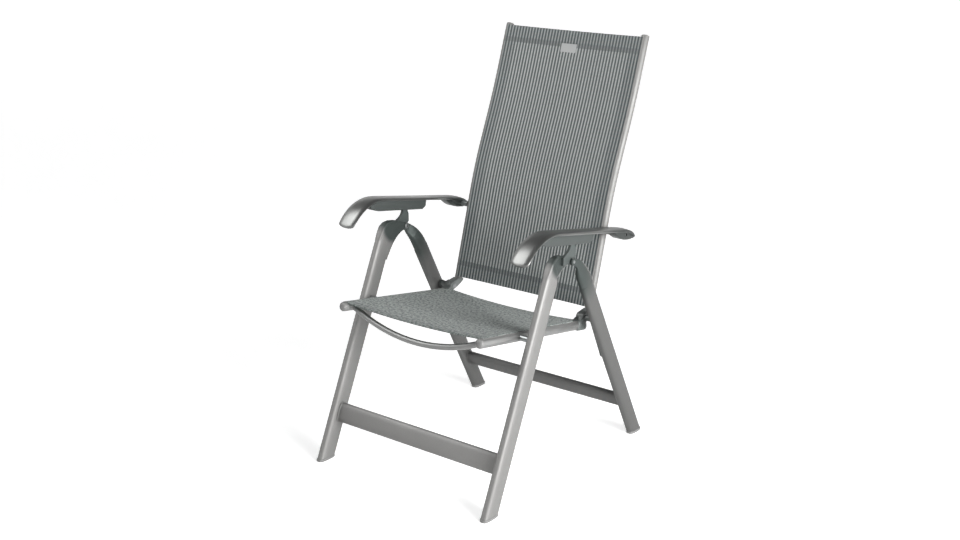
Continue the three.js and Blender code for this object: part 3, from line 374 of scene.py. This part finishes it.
def round_tube(points, radius, sides=ROUND_SIDES):
    """A closed round tube along a smooth line of points, square at both ends."""
    bm = bmesh.new()
    headings = []
    for i in range(len(points)):
        before = points[max(i - 1, 0)]
        after = points[min(i + 1, len(points) - 1)]
        headings.append((after - before).normalized())
    ring = bmesh.ops.create_circle(bm, cap_ends=True, segments=sides, radius=radius)
    place = Matrix.Translation(points[0]) @ headings[0].to_track_quat("Z", "Y").to_matrix().to_4x4()
    bmesh.ops.transform(bm, verts=ring["verts"], matrix=place)
    cap = bm.faces[:]
    for i in range(1, len(points)):
        grown = bmesh.ops.extrude_face_region(bm, geom=cap)
        cap = [g for g in grown["geom"] if isinstance(g, bmesh.types.BMFace)]
        verts = [g for g in grown["geom"] if isinstance(g, bmesh.types.BMVert)]
        swing = headings[i - 1].rotation_difference(headings[i]).to_matrix().to_4x4()
        step = Matrix.Translation(points[i]) @ swing @ Matrix.Translation(-points[i - 1])
        bmesh.ops.transform(bm, verts=verts, matrix=step)
    return bm


def tube_bullet():
    """The front leg's rounded end, which runs on past the tube and leans to the front."""
    sections = []
    for i in range(BULLET_STEPS + 3):
        along = bullet_start * min(i / 2, 1)
        swell = 1.0
        if i > 2:
            turn = (i - 2) / BULLET_STEPS * math.pi / 2
            along += bullet_length * math.sin(turn)
            swell = max(math.cos(turn), 0.02)
        centre = on_front_leg(front_leg_end) + front_leg_up * along
        centre -= front_leg_across * (1 - swell) * bullet_lean * front_leg_width / 2
        low = centre + front_leg_across * swell * front_leg_width / 2
        high = centre - front_leg_across * swell * front_leg_width / 2
        middle = web_outer + (leg_offset - web_outer) * swell
        half = leg_thickness / 2 * swell ** bullet_bulge
        sections.append(((low.y - apex.y, low.z - apex.z), (high.y - apex.y, high.z - apex.z),
                         middle - half, middle + half, OVAL_FULLNESS))
    return sections


# Painted shade: the dark tone that the elbow and shoulder coats turn to round the apex pin.
joint_painted_shade_tone = (0.05, 0.06, 0.057)
rear_coat_painted_shade = coat_deepened_round("rear_leg_coat_painted_shade", rear_tones_painted_shade, coat_metal, coat_roughness, joint_painted_shade_tone,
                        centre=(-0.012, -0.052), deep_within=0.060, plain_beyond=0.135)
elbow_coat_painted_shade = coat_deepened_round("front_leg_coat_painted_shade", leg_tones, coat_metal, coat_roughness, joint_painted_shade_tone,
                         centre=(-0.045, 0.014), deep_within=0.040, plain_beyond=0.058)
for side, sign in SIDES:
    finished(lofted(tube_bullet()), f"elbow_tube_end_{side}", "front_frame", "silver_tube", elbow_coat_painted_shade,
             sharp=55, flipped=sign < 0)
    web = lofted([(low, high, web_inner, web_outer, web_fullness) for low, high in elbow_web])
    finished(web, f"elbow_casting_{side}", "front_frame", "cast_grey", elbow_coat_painted_shade, f"front_elbow_{side}",
             sharp=55, flipped=sign < 0)
    brow = lofted([(*section, OVAL_FULLNESS) for section in elbow_brow])
    finished(brow, f"elbow_brow_{side}", "front_frame", "cast_grey", elbow_coat_painted_shade, sharp=55, flipped=sign < 0)
    # A thin raised rim under the web, left in the plain silver beside the painted shade: partly a real bead,
    # partly a painted highlight along the edge.
    rim_line = [Vector((web_outer - rim_sink, apex.y + low[0], apex.z + low[1] + rim_lift))
                for low, _ in elbow_web[:elbow_rim_points]]
    finished(round_tube(rim_line, rim_radius, THIN_SIDES), f"elbow_rim_{side}", "front_frame", "silver_tube",
             silver, flipped=sign < 0)
    shoulder = lofted([(low, high, lug_start - (lug_start - leg_inner) * full, leg_outer, fullness)
                       for low, high, full, fullness in shoulder_sections])
    finished(shoulder, f"shoulder_casting_{side}", "rear_frame", "cast_grey", rear_coat_painted_shade,
             f"rear_shoulder_{side}", sharp=55, flipped=sign < 0)
    # The same silver rim along the shoulder's outer edge: partly a real bead, partly a painted highlight.
    rim_line = [Vector((leg_outer - shoulder_rim_inset - shoulder_rim_taper * full,
                        apex.y + high[0] - shoulder_rim_back, apex.z + high[1] - rim_sink))
                for _, high, full, _ in shoulder_sections[:shoulder_rim_points]]
    finished(round_tube(rim_line, shoulder_rim_radius, THIN_SIDES), f"shoulder_rim_{side}", "rear_frame",
             "silver_tube", silver, flipped=sign < 0)
    for node, body, piece in (("neck_plate", "front_frame", "neck_casting"), ("link", "links", "link_bar")):
        finished(copy_of(f"{node}_{side}"), f"{piece}_{side}", body, "cast_grey", cast_grey,
                 f"{node}_{side}", sharp=50)

# Pins and bolts: headed steel pins, turned, with a soft edge on each head. Zinc plating has
# dulled to a mid grey.
bolt_steel = coat("bolt_steel", (0.2, 0.21, 0.21), (0.27, 0.28, 0.28), 0.9, 0.36, 2500, 0.02)
for node, body in (
    ("apex_pin", "front_frame"), ("neck_pin", "front_frame"), ("seat_bolt", "front_frame"),
    ("link_bolt", "rear_frame"), ("hinge_bolt", "hinge_pins"), ("arm_bolt", "arm_bolts"),
):
    for side, sign in SIDES:
        finished(copy_of(f"{node}_{side}"), f"{node}_steel_{side}", body, "bolt_steel", bolt_steel,
                 f"{node}_{side}", sharp=35)

# Rear legs: the same tube as the front ones, a little narrower, up to the shoulder castings.
rear_leg_end = 0.505
for side, sign in SIDES:
    leg = oval_tube(on_rear_leg(-rear_leg_width), on_rear_leg(rear_leg_end), rear_leg_across,
                    rear_leg_width, leg_thickness)
    cut_off(leg, (0, 0, foot_height + piece_gap), (0, 0, -1))
    # The rear legs take the rear coat with painted shade: darker than the front, and darker still towards the
    # shoulder.
    finished(leg, f"rear_leg_tube_{side}", "rear_frame", "silver_tube", rear_coat_painted_shade,
             f"rear_leg_{side}", flipped=sign < 0)

# Seat rails: round tubes that slope down to the back, with a domed plug in front and a thin
# lip along the groove that holds the fabric's edge cord. Their coat is painted a deeper grey,
# as painted shade.
seat_slope = math.radians(9.5)
seat_rail_offset = 0.226
seat_rail_radius = 0.0125
seat_front_reach = 0.150
seat_rail_rear = 0.262
seat_sling_front = 0.146
seat_sling_rear = 0.278
lip_radius = 0.0011
lip_turn = math.radians(-22)
seat_pivot = middle_of("seat_bolt_left")
seat_axis = Vector((0, math.cos(seat_slope), -math.sin(seat_slope)))
seat_up = Vector((0, math.sin(seat_slope), math.cos(seat_slope)))


def on_seat(x, along, up):
    place = seat_pivot + seat_axis * along + seat_up * up
    place.x = x
    return place


rail_silver_painted_shade = coat("seat_rail_coat_painted_shade", (0.2, 0.202, 0.198), (0.26, 0.262, 0.257), 0.6, 0.42)
for side, sign in SIDES:
    rail = round_tube([on_seat(seat_rail_offset, -seat_front_reach, 0),
                       on_seat(seat_rail_offset, seat_rail_rear, 0)], seat_rail_radius)
    soften(rail, tube_edge)
    finished(rail, f"seat_rail_tube_{side}", "seat", "silver_tube", rail_silver_painted_shade,
             f"seat_rail_{side}", flipped=sign < 0)
    lip_x = seat_rail_offset - seat_rail_radius * math.sin(lip_turn)
    lip_up = seat_rail_radius * math.cos(lip_turn)
    lip = round_tube([on_seat(lip_x, -seat_front_reach, lip_up), on_seat(lip_x, seat_rail_rear, lip_up)],
                     lip_radius, THIN_SIDES)
    finished(lip, f"seat_groove_lip_{side}", "seat", "silver_tube", silver, flipped=sign < 0)
    finished(copy_of(f"seat_cap_{side}"), f"seat_plug_{side}", "seat", "cast_grey", cap_grey,
             f"seat_cap_{side}", sharp=50)

# Bows: thin round tubes welded between the rails, which sag clear of the fabric in one arc.
bow_radius = 0.008
BOW_STEPS = 40
seat_bow_sag = 0.049
seat_bow_drop = 0.001


def arc_points(half_span, sag, base, down):
    """Points of a shallow arc from rail to rail that sags along down."""
    radius = (half_span ** 2 + sag ** 2) / (2 * sag)
    widest = math.asin(half_span / radius)
    points = []
    for i in range(BOW_STEPS + 1):
        turn = widest * (2 * i / BOW_STEPS - 1)
        sunk = radius * math.cos(turn) - radius + sag
        points.append(base + Vector((radius * math.sin(turn), 0, 0)) + down * sunk)
    return points


# The bows take the rails' coat, painted a deeper grey as painted shade.
for node, reach in (("seat_front_bow", -0.120), ("seat_rear_bow", 0.236)):
    bow = round_tube(arc_points(seat_rail_offset - seat_rail_radius / 2, seat_bow_sag,
                                on_seat(0, reach, -seat_bow_drop), -seat_up), bow_radius, BOW_SIDES)
    finished(bow, f"{node}_tube", "seat", "silver_tube", rail_silver_painted_shade, node)

# Seat lugs, back lugs, spacers and bushes: dark moulded hinge parts between seat, back,
# link and arm.
dark_plastic = coat("dark_hinge_plastic", (0.115, 0.128, 0.124), (0.14, 0.153, 0.149), 0.1, 0.45, 700, 0.1)
for node, body in (
    ("seat_lug", "seat"), ("back_lug", "back"), ("hinge_spacer", "hinge_pins"), ("arm_bush", "arm_bushes"),
):
    for side, sign in SIDES:
        finished(copy_of(f"{node}_{side}"), f"{node}_moulding_{side}", body, "dark_plastic", dark_plastic,
                 f"{node}_{side}", sharp=50)

# Seat fabric: a fine two-tone woven mesh, carried over both rails and slightly hollow
# between them. The front and rear edges are turned under and sewn down.
seat_sling_edge = 0.2275
seat_sling_neck = 0.2132
seat_sling_lift = 0.0134
seat_sling_sag = 0.0082
cloth_thickness = 0.0014
seat_hem = 0.026
hem_layer_share = 1.15
hem_inset = 0.001
neck_length = 0.012
edge_roll = 0.0014
edge_roll_length = 0.004


def calc(tree, operation, first, second=None, third=None):
    """One Math node; a number goes on its socket and a socket is linked to it."""
    node = tree.nodes.new("ShaderNodeMath")
    node.operation = operation
    for socket, value in zip(node.inputs, (first, second, third)):
        if value is None:
            continue
        if isinstance(value, (int, float)):
            socket.default_value = value
        else:
            tree.links.new(value, socket)
    return node.outputs[0]


def ramp(tree, value, low, high):
    """0 below low, 1 above high, smooth between."""
    node = tree.nodes.new("ShaderNodeMapRange")
    node.interpolation_type = "SMOOTHSTEP"
    node.inputs["From Min"].default_value = low
    node.inputs["From Max"].default_value = high
    tree.links.new(value, node.inputs["Value"])
    return node.outputs["Result"]


def blended(tree, factor, first, second):
    """A colour mixed from two, each a colour or a socket."""
    node = tree.nodes.new("ShaderNodeMix")
    node.data_type = "RGBA"
    tree.links.new(factor, node.inputs["Factor"])
    for socket, value in ((node.inputs[6], first), (node.inputs[7], second)):
        if isinstance(value, tuple):
            socket.default_value = (*value, 1)
        else:
            tree.links.new(value, socket)
    return node.outputs[2]


def cloth_base(name):
    """A fabric material with its own map in metres: u across, v along."""
    material = bpy.data.materials.new(name)
    material.use_nodes = True
    tree = material.node_tree
    uv = tree.nodes.new("ShaderNodeUVMap")
    uv.uv_map = "cloth"
    split = tree.nodes.new("ShaderNodeSeparateXYZ")
    tree.links.new(uv.outputs["UV"], split.inputs[0])
    return material, tree, uv.outputs["UV"], split.outputs["X"], split.outputs["Y"]


def cloth_noise(tree, uv, scale, stretch=(1, 1, 1)):
    """Noise over the fabric's own map, drawn out along one thread if asked."""
    mapping = tree.nodes.new("ShaderNodeMapping")
    mapping.inputs["Scale"].default_value = stretch
    noise = tree.nodes.new("ShaderNodeTexNoise")
    noise.inputs["Scale"].default_value = scale
    noise.inputs["Detail"].default_value = 3
    tree.links.new(uv, mapping.inputs["Vector"])
    tree.links.new(mapping.outputs["Vector"], noise.inputs["Vector"])
    return noise.outputs["Fac"]


def thread(tree, place, pitch):
    """A soft ridge for each thread across one direction of the map."""
    return calc(tree, "SINE", calc(tree, "MULTIPLY", place, 2 * math.pi / pitch))


def weave_relief(tree, u, v, pitch, shader):
    crossing = calc(tree, "MULTIPLY", thread(tree, u, pitch), thread(tree, v, pitch))
    relief = tree.nodes.new("ShaderNodeBump")
    relief.inputs["Strength"].default_value = 0.5
    relief.inputs["Distance"].default_value = 0.0003
    tree.links.new(crossing, relief.inputs["Height"])
    tree.links.new(relief.outputs["Normal"], shader.inputs["Normal"])
    shader.inputs["Roughness"].default_value = 0.62
    shader.inputs["Sheen Weight"].default_value = 0.15
    return crossing


def stitches(tree, u, v, seams, pitch=0.0045):
    """A row of sewn dashes at each seam's place along the fabric."""
    dash = calc(tree, "GREATER_THAN", calc(tree, "FRACT", calc(tree, "DIVIDE", u, pitch)), 0.35)
    rows = None
    for seam in seams:
        row = calc(tree, "LESS_THAN", calc(tree, "ABSOLUTE", calc(tree, "SUBTRACT", v, seam)), 0.0006)
        rows = row if rows is None else calc(tree, "MAXIMUM", rows, row)
    return calc(tree, "MULTIPLY", rows, dash)


seat_length = seat_sling_front + seat_sling_rear
seat_cloth, tree, uv, u, v = cloth_base("seat_woven_mesh")
shader = tree.nodes["Principled BSDF"]
mottle = cloth_noise(tree, uv, 160, (1, 0.75, 1))
specks = ramp(tree, mottle, 0.44, 0.56)
check = ramp(tree, weave_relief(tree, u, v, 0.0036, shader), -0.5, 0.7)
speckled = calc(tree, "MULTIPLY", specks, calc(tree, "ADD", calc(tree, "MULTIPLY", check, 0.6), 0.4))
colour = blended(tree, speckled, (0.105, 0.13, 0.123), (0.47, 0.52, 0.495))
folds = calc(tree, "LESS_THAN", v, seat_hem)
colour = blended(tree, calc(tree, "MULTIPLY", folds, 0.25), colour, (0.06, 0.075, 0.072))
sewn = stitches(tree, u, v, (seat_hem - 0.003, seat_length - seat_hem + 0.003))
colour = blended(tree, calc(tree, "MULTIPLY", sewn, 0.7), colour, (0.08, 0.09, 0.088))
tree.links.new(colour, shader.inputs["Base Color"])


def fabric(name, across, along, place, thickness, body, slot, material, *nodes):
    """A sheet from a flat grid: place(u, v) gives the middle surface and its outward side."""
    bm = bmesh.new()
    bmesh.ops.create_grid(bm, x_segments=across, y_segments=along, size=1)
    layer = bm.loops.layers.uv.new("cloth")
    spots = {}
    for vert in bm.verts:
        spots[vert] = place((vert.co.x + 1) / 2, (vert.co.y + 1) / 2)
    for face in bm.faces:
        for loop in face.loops:
            loop[layer].uv = spots[loop.vert][1]
    for vert, (spot, _) in spots.items():
        vert.co = spot
    bmesh.ops.recalc_face_normals(bm, faces=bm.faces)
    bmesh.ops.solidify(bm, geom=bm.faces[:], thickness=thickness)
    return finished(bm, name, body, slot, material, *nodes, sharp=60)


def seat_place(share_u, share_v, drop=0.0, inset=0.0):
    along = -seat_sling_front + share_v * seat_length
    narrowing = min(max((along - seat_rail_rear + neck_length) / neck_length, 0), 1)
    half = seat_sling_edge + (seat_sling_neck - seat_sling_edge) * narrowing - inset
    x = half * (2 * share_u - 1)
    dip = seat_sling_sag * (1 - (2 * share_u - 1) ** 2)
    end = min(share_v, 1 - share_v) * seat_length
    roll = edge_roll * max(0, 1 - end / edge_roll_length) ** 2
    return on_seat(x, along, seat_sling_lift - dip - drop - roll), (x, share_v * seat_length)


seat_sheet = fabric("seat_fabric_sheet", 72, 72, seat_place, cloth_thickness, "seat", "seat_fabric",
                    seat_cloth, "seat_sling")
for name, start, end in (("front", 0.0, seat_hem / seat_length), ("rear", 1 - seat_hem / seat_length, 1.0)):
    def hem_place(share_u, share_v, start=start, end=end):
        along = start + (end - start) * share_v
        return seat_place(share_u, along, hem_layer_share * cloth_thickness, hem_inset)

    fabric(f"seat_{name}_hem", 72, 8, hem_place, cloth_thickness, "seat", "seat_fabric",
                       seat_cloth)

# Back rails: round tubes with a lower, a middle and an upper stretch, each at its own lean,
# joined by easy bends. A domed plug closes the top.
back_rail_offset = 0.225
back_rail_radius = 0.011
back_bend = 0.075
back_stretches = ((0.327, math.radians(16.3)), (0.230, math.radians(23.1)), (0.1845, math.radians(18.9)))
BEND_STEPS = 12
hinge = middle_of("hinge_bolt_left")
back_foot = Vector((0, hinge.y + 0.034, hinge.z + 0.014))
corners = [back_foot]
for length, lean in back_stretches:
    corners.append(corners[-1] + Vector((0, math.sin(lean), math.cos(lean))) * length)
back_line = [corners[0]]
for before, corner, after in zip(corners, corners[1:], corners[2:]):
    enter = corner + (before - corner).normalized() * back_bend
    leave = corner + (after - corner).normalized() * back_bend
    for i in range(BEND_STEPS + 1):
        t = i / BEND_STEPS
        back_line.append(enter * (1 - t) ** 2 + corner * 2 * t * (1 - t) + leave * t ** 2)
back_line.append(corners[-1])
back_reaches = [0.0]
for a, b in zip(back_line, back_line[1:]):
    back_reaches.append(back_reaches[-1] + (b - a).length)
back_length = back_reaches[-1]


def on_back(x, distance, lift=0.0):
    """A place on the back at a distance along the rail, with a lift towards the sitter."""
    i = max(k for k in range(len(back_line) - 1) if back_reaches[k] <= max(distance, 0))
    share = (distance - back_reaches[i]) / (back_reaches[i + 1] - back_reaches[i])
    spot = back_line[i].lerp(back_line[i + 1], share)
    headings = []
    for k in (i, i + 1):
        a = back_line[max(k - 1, 0)]
        b = back_line[min(k + 1, len(back_line) - 1)]
        headings.append((b - a).normalized())
    heading = headings[0].lerp(headings[1], share).normalized()
    spot = spot + Vector((0, -heading.z, heading.y)) * lift
    spot.x = x
    return spot


back_lip_turn = math.radians(-3)
for side, sign in SIDES:
    line = [point + Vector((back_rail_offset, 0, 0)) for point in back_line]
    rail = round_tube(line, back_rail_radius)
    soften(rail, tube_edge)
    finished(rail, f"back_rail_tube_{side}", "back", "silver_tube", silver,
             f"back_rail_{side}", flipped=sign < 0)
    lip_x = back_rail_offset - back_rail_radius * math.sin(back_lip_turn)
    lip_line = [on_back(lip_x, reach, back_rail_radius * math.cos(back_lip_turn)) for reach in back_reaches]
    lip = round_tube(lip_line, lip_radius, THIN_SIDES)
    finished(lip, f"back_groove_lip_{side}", "back", "silver_tube", silver, flipped=sign < 0)
    finished(copy_of(f"back_cap_{side}"), f"back_plug_{side}", "back", "cast_grey", cap_grey,
             f"back_cap_{side}", sharp=50)

# Back bows: the same thin tube as the seat's, sagging behind the fabric near its two ends.
back_bow_sag = 0.028
back_bow_drop = 0.005
back_bow_inset = 0.036
back_sling_start = 0.004
back_sling_end = 0.0028
for node, distance in (
    ("back_lower_bow", back_bow_inset + back_sling_start), ("back_upper_bow", back_length - back_bow_inset),
):
    base = on_back(0, distance, -back_bow_drop)
    behind = (base - on_back(0, distance)).normalized()
    points = arc_points(back_rail_offset - back_rail_radius / 2, back_bow_sag, base, behind)
    bow = round_tube(points, bow_radius, BOW_SIDES)
    finished(bow, f"{node}_tube", "back", "silver_tube", silver, node)

# Back fabric: coated mesh with narrow dark and light stripes lengthways. The sides are
# double where the edge cords run, and both ends are turned back in deep sewn hems.
back_sling_edge = 0.2235
back_sling_lift = 0.0117
back_sling_sag = 0.0072
stripe_pitch = 0.0098
back_hem = 0.047
side_band = 0.036
sling_length = back_length - back_sling_end - back_sling_start
back_cloth, tree, uv, u, v = cloth_base("back_striped_mesh")
shader = tree.nodes["Principled BSDF"]
crossing = weave_relief(tree, u, v, 0.0022, shader)
wander = calc(tree, "MULTIPLY", calc(tree, "SUBTRACT", cloth_noise(tree, uv, 60, (4, 0.4, 1)), 0.5), 0.0012)
stripe = thread(tree, calc(tree, "ADD", u, wander), stripe_pitch)
light = ramp(tree, stripe, -0.15, 0.55)
dashes = ramp(tree, cloth_noise(tree, uv, 420, (1, 0.5, 1)), 0.3, 0.6)
light = calc(tree, "MULTIPLY", light, calc(tree, "ADD", calc(tree, "MULTIPLY", dashes, 0.35), 0.65))
from_end = calc(tree, "MINIMUM", v, calc(tree, "SUBTRACT", sling_length, v))
in_hem = calc(tree, "LESS_THAN", from_end, back_hem)
from_side = calc(tree, "SUBTRACT", back_sling_edge, calc(tree, "ABSOLUTE", u))
in_side = calc(tree, "SUBTRACT", 1.0, ramp(tree, from_side, side_band * 0.8, side_band))
doubled = calc(tree, "MAXIMUM", in_hem, in_side)
light = calc(tree, "MULTIPLY", light, calc(tree, "SUBTRACT", 1.0, calc(tree, "MULTIPLY", doubled, 0.32)))
ground = blended(tree, doubled, (0.058, 0.072, 0.073), (0.04, 0.055, 0.058))
colour = blended(tree, light, ground, (0.5, 0.525, 0.515))
seam = ramp(tree, calc(tree, "ABSOLUTE", calc(tree, "SUBTRACT", from_end, back_hem - 0.007)), 0.009, 0.005)
colour = blended(tree, calc(tree, "MULTIPLY", seam, 0.4), colour, (0.04, 0.05, 0.052))
sewn = stitches(tree, u, v, (back_hem - 0.003, back_hem - 0.007,
                             sling_length - back_hem + 0.003, sling_length - back_hem + 0.007))
colour = blended(tree, calc(tree, "MULTIPLY", sewn, 0.6), colour, (0.12, 0.135, 0.133))
tree.links.new(colour, shader.inputs["Base Color"])


def back_place(share_u, share_v, behind=0.0, inset=0.0):
    x = (back_sling_edge - inset) * (2 * share_u - 1)
    dip = back_sling_sag * (1 - (2 * share_u - 1) ** 2)
    distance = back_sling_start + share_v * sling_length
    return on_back(x, distance, back_sling_lift - dip - behind), (x, share_v * sling_length)


back_sheet = fabric("back_fabric_sheet", 72, 110, back_place, cloth_thickness, "back", "back_fabric",
                    back_cloth, "back_sling")
for name, start, end in (("lower", 0.0, back_hem / sling_length), ("top", 1 - back_hem / sling_length, 1.0)):
    def hem_place(share_u, share_v, start=start, end=end):
        along = start + (end - start) * share_v
        return back_place(share_u, along, hem_layer_share * cloth_thickness, hem_inset)

    fabric(f"back_{name}_hem", 72, 12, hem_place, cloth_thickness, "back", "back_fabric",
                       back_cloth)

# Tag: a small bare woven label sewn over the top hem, white and without any sign.
tag_width = 0.050
tag_height = 0.024
tag_across = -0.006
tag_below = 0.049
tag_thickness = 0.0007
tag_gap = 0.0008
tag_white = coat("tag_white_tape", (0.44, 0.45, 0.45), (0.52, 0.53, 0.53), 0.0, 0.7, 1200, 0.3)


def tag_place(share_u, share_v):
    x = tag_across + tag_width * (share_u - 0.5)
    distance = back_length - back_sling_end - tag_below + tag_height * (share_v - 0.5)
    dip = back_sling_sag * (1 - (x / back_sling_edge) ** 2)
    return on_back(x, distance, back_sling_lift - dip + cloth_thickness + tag_gap), (x, distance)


tag = fabric("back_bare_tag", 16, 8, tag_place, tag_thickness, "back", "back_fabric", tag_white)

# Armrests, housings and racks: a crowned paddle of coated aluminium, deeper in tone towards
# the back, over a moulded trough that hides the notched rack.
arm_tones = ((0.14, 0.143, 0.14), (0.18, 0.183, 0.178))
arm_silver = coat_deepened_round("armrest_satin_grey", arm_tones, 0.85, 0.36, (0.06, 0.066, 0.064),
                        centre=(0.233, 0.020), deep_within=0.05, plain_beyond=0.16)
housing_grey = coat("housing_moulded_grey", (0.045, 0.052, 0.05), (0.06, 0.067, 0.065),
                    0.0, 0.55, 700, 0.1, 0.3)
nylon = coat("rack_nylon", (0.03, 0.033, 0.032), (0.045, 0.048, 0.047), 0.0, 0.5, 600, 0.1)
for side, sign in SIDES:
    for node, piece, slot, material in (
        ("armrest", "armrest_paddle", "arm_silver", arm_silver),
        ("arm_housing", "ratchet_housing", "housing_grey", housing_grey),
        ("arm_rack", "ratchet_rack", "nylon", nylon),
    ):
        finished(copy_of(f"{node}_{side}"), f"{piece}_{side}", f"arm_{side}", slot, material,
                 f"{node}_{side}", sharp=40)

# Camera where the photograph was taken from, with its view of 39.5 degrees across.
camera_from_apex = Vector((2.095, -2.6755, 0))
camera_height = 1.5628
camera_yaw = math.radians(38.17)
camera_pitch = math.radians(17.27)
camera_roll = math.radians(0.08)
camera = bpy.data.objects.new("camera", bpy.data.cameras.new("camera"))
camera.data.sensor_width = 36
camera.data.lens = 50.1
camera.location = Vector((camera_from_apex.x, apex.y + camera_from_apex.y, camera_height))
camera.rotation_euler = (math.pi / 2 - camera_pitch, camera_roll, camera_yaw)
bpy.context.scene.collection.objects.link(camera)
bpy.context.scene.camera = camera

# Studio: a pale floor that runs up into a round wall. It adds a glow of its own where it is
# seen, and keeps the chair's shadow.
bpy.context.scene.view_settings.view_transform = "Standard"
stage_radius = 7.0
wall_height = 5.0
floor_glow = 0.66
floor_white = bpy.data.materials.new("studio_floor")
floor_white.use_nodes = True
tree = floor_white.node_tree
shader = tree.nodes["Principled BSDF"]
shader.inputs["Base Color"].default_value = (0.86, 0.86, 0.86, 1)
shader.inputs["Roughness"].default_value = 0.9
path = tree.nodes.new("ShaderNodeLightPath")
glow = tree.nodes.new("ShaderNodeEmission")
glow.inputs["Strength"].default_value = floor_glow
seen = calc(tree, "MAXIMUM", path.outputs["Is Camera Ray"], path.outputs["Is Glossy Ray"])
seen = calc(tree, "MAXIMUM", seen, path.outputs["Is Transmission Ray"])
added = tree.nodes.new("ShaderNodeAddShader")
chosen = tree.nodes.new("ShaderNodeMixShader")
tree.links.new(shader.outputs[0], added.inputs[0])
tree.links.new(glow.outputs[0], added.inputs[1])
tree.links.new(seen, chosen.inputs[0])
tree.links.new(shader.outputs[0], chosen.inputs[1])
tree.links.new(added.outputs[0], chosen.inputs[2])
tree.links.new(chosen.outputs[0], tree.nodes["Material Output"].inputs["Surface"])

bm = bmesh.new()
bmesh.ops.create_circle(bm, cap_ends=True, segments=96, radius=stage_radius)
rim = [e for e in bm.edges if e.is_boundary]
for rise, out in ((0.25, 0.45), (0.8, 0.8), (wall_height, 1.0)):
    grown = bmesh.ops.extrude_edge_only(bm, edges=rim)
    verts = [g for g in grown["geom"] if isinstance(g, bmesh.types.BMVert)]
    rim = [g for g in grown["geom"] if isinstance(g, bmesh.types.BMEdge)]
    for vert in verts:
        flat = Vector((vert.co.x, vert.co.y, 0)).normalized()
        vert.co = flat * (stage_radius + out) + Vector((0, 0, rise))
mesh = bpy.data.meshes.new("studio_floor")
bm.to_mesh(mesh)
bm.free()
mesh.shade_smooth()
mesh.materials.append(floor_white)
floor = bpy.data.objects.new("studio_floor", mesh)
bpy.context.scene.collection.objects.link(floor)

# Sky and lights: the sky is dim overhead and brighter low down. One large soft light stands
# low at the right. The other, high in front, shows in gloss alone.
world = bpy.data.worlds.new("studio_sky")
world.use_nodes = True
tree = world.node_tree
sky = tree.nodes["Background"]
heading = tree.nodes.new("ShaderNodeTexCoord")
level = tree.nodes.new("ShaderNodeSeparateXYZ")
tree.links.new(heading.outputs["Generated"], level.inputs[0])
dome = ramp(tree, level.outputs["Z"], 0.25, 0.8)
tree.links.new(blended(tree, dome, (0.6, 0.6, 0.6), (0.16, 0.16, 0.16)), sky.inputs["Color"])
bpy.context.scene.world = world
look_at = Vector((0, 0, 0.55))
for name, place, size, power, lights_fabric in (
    ("right_light", Vector((3.6, -0.7, 1.35)), 2.2, 230, True),
    ("front_light", Vector((-2.2, -1.6, 3.5)), 3.0, 140, False),
):
    data = bpy.data.lights.new(name, "AREA")
    data.shape = "DISK"
    data.size = size
    data.energy = power
    lamp = bpy.data.objects.new(name, data)
    lamp.location = place
    lamp.visible_diffuse = lights_fabric
    lamp.rotation_euler = (look_at - place).to_track_quat("-Z", "Y").to_euler()
    bpy.context.scene.collection.objects.link(lamp)
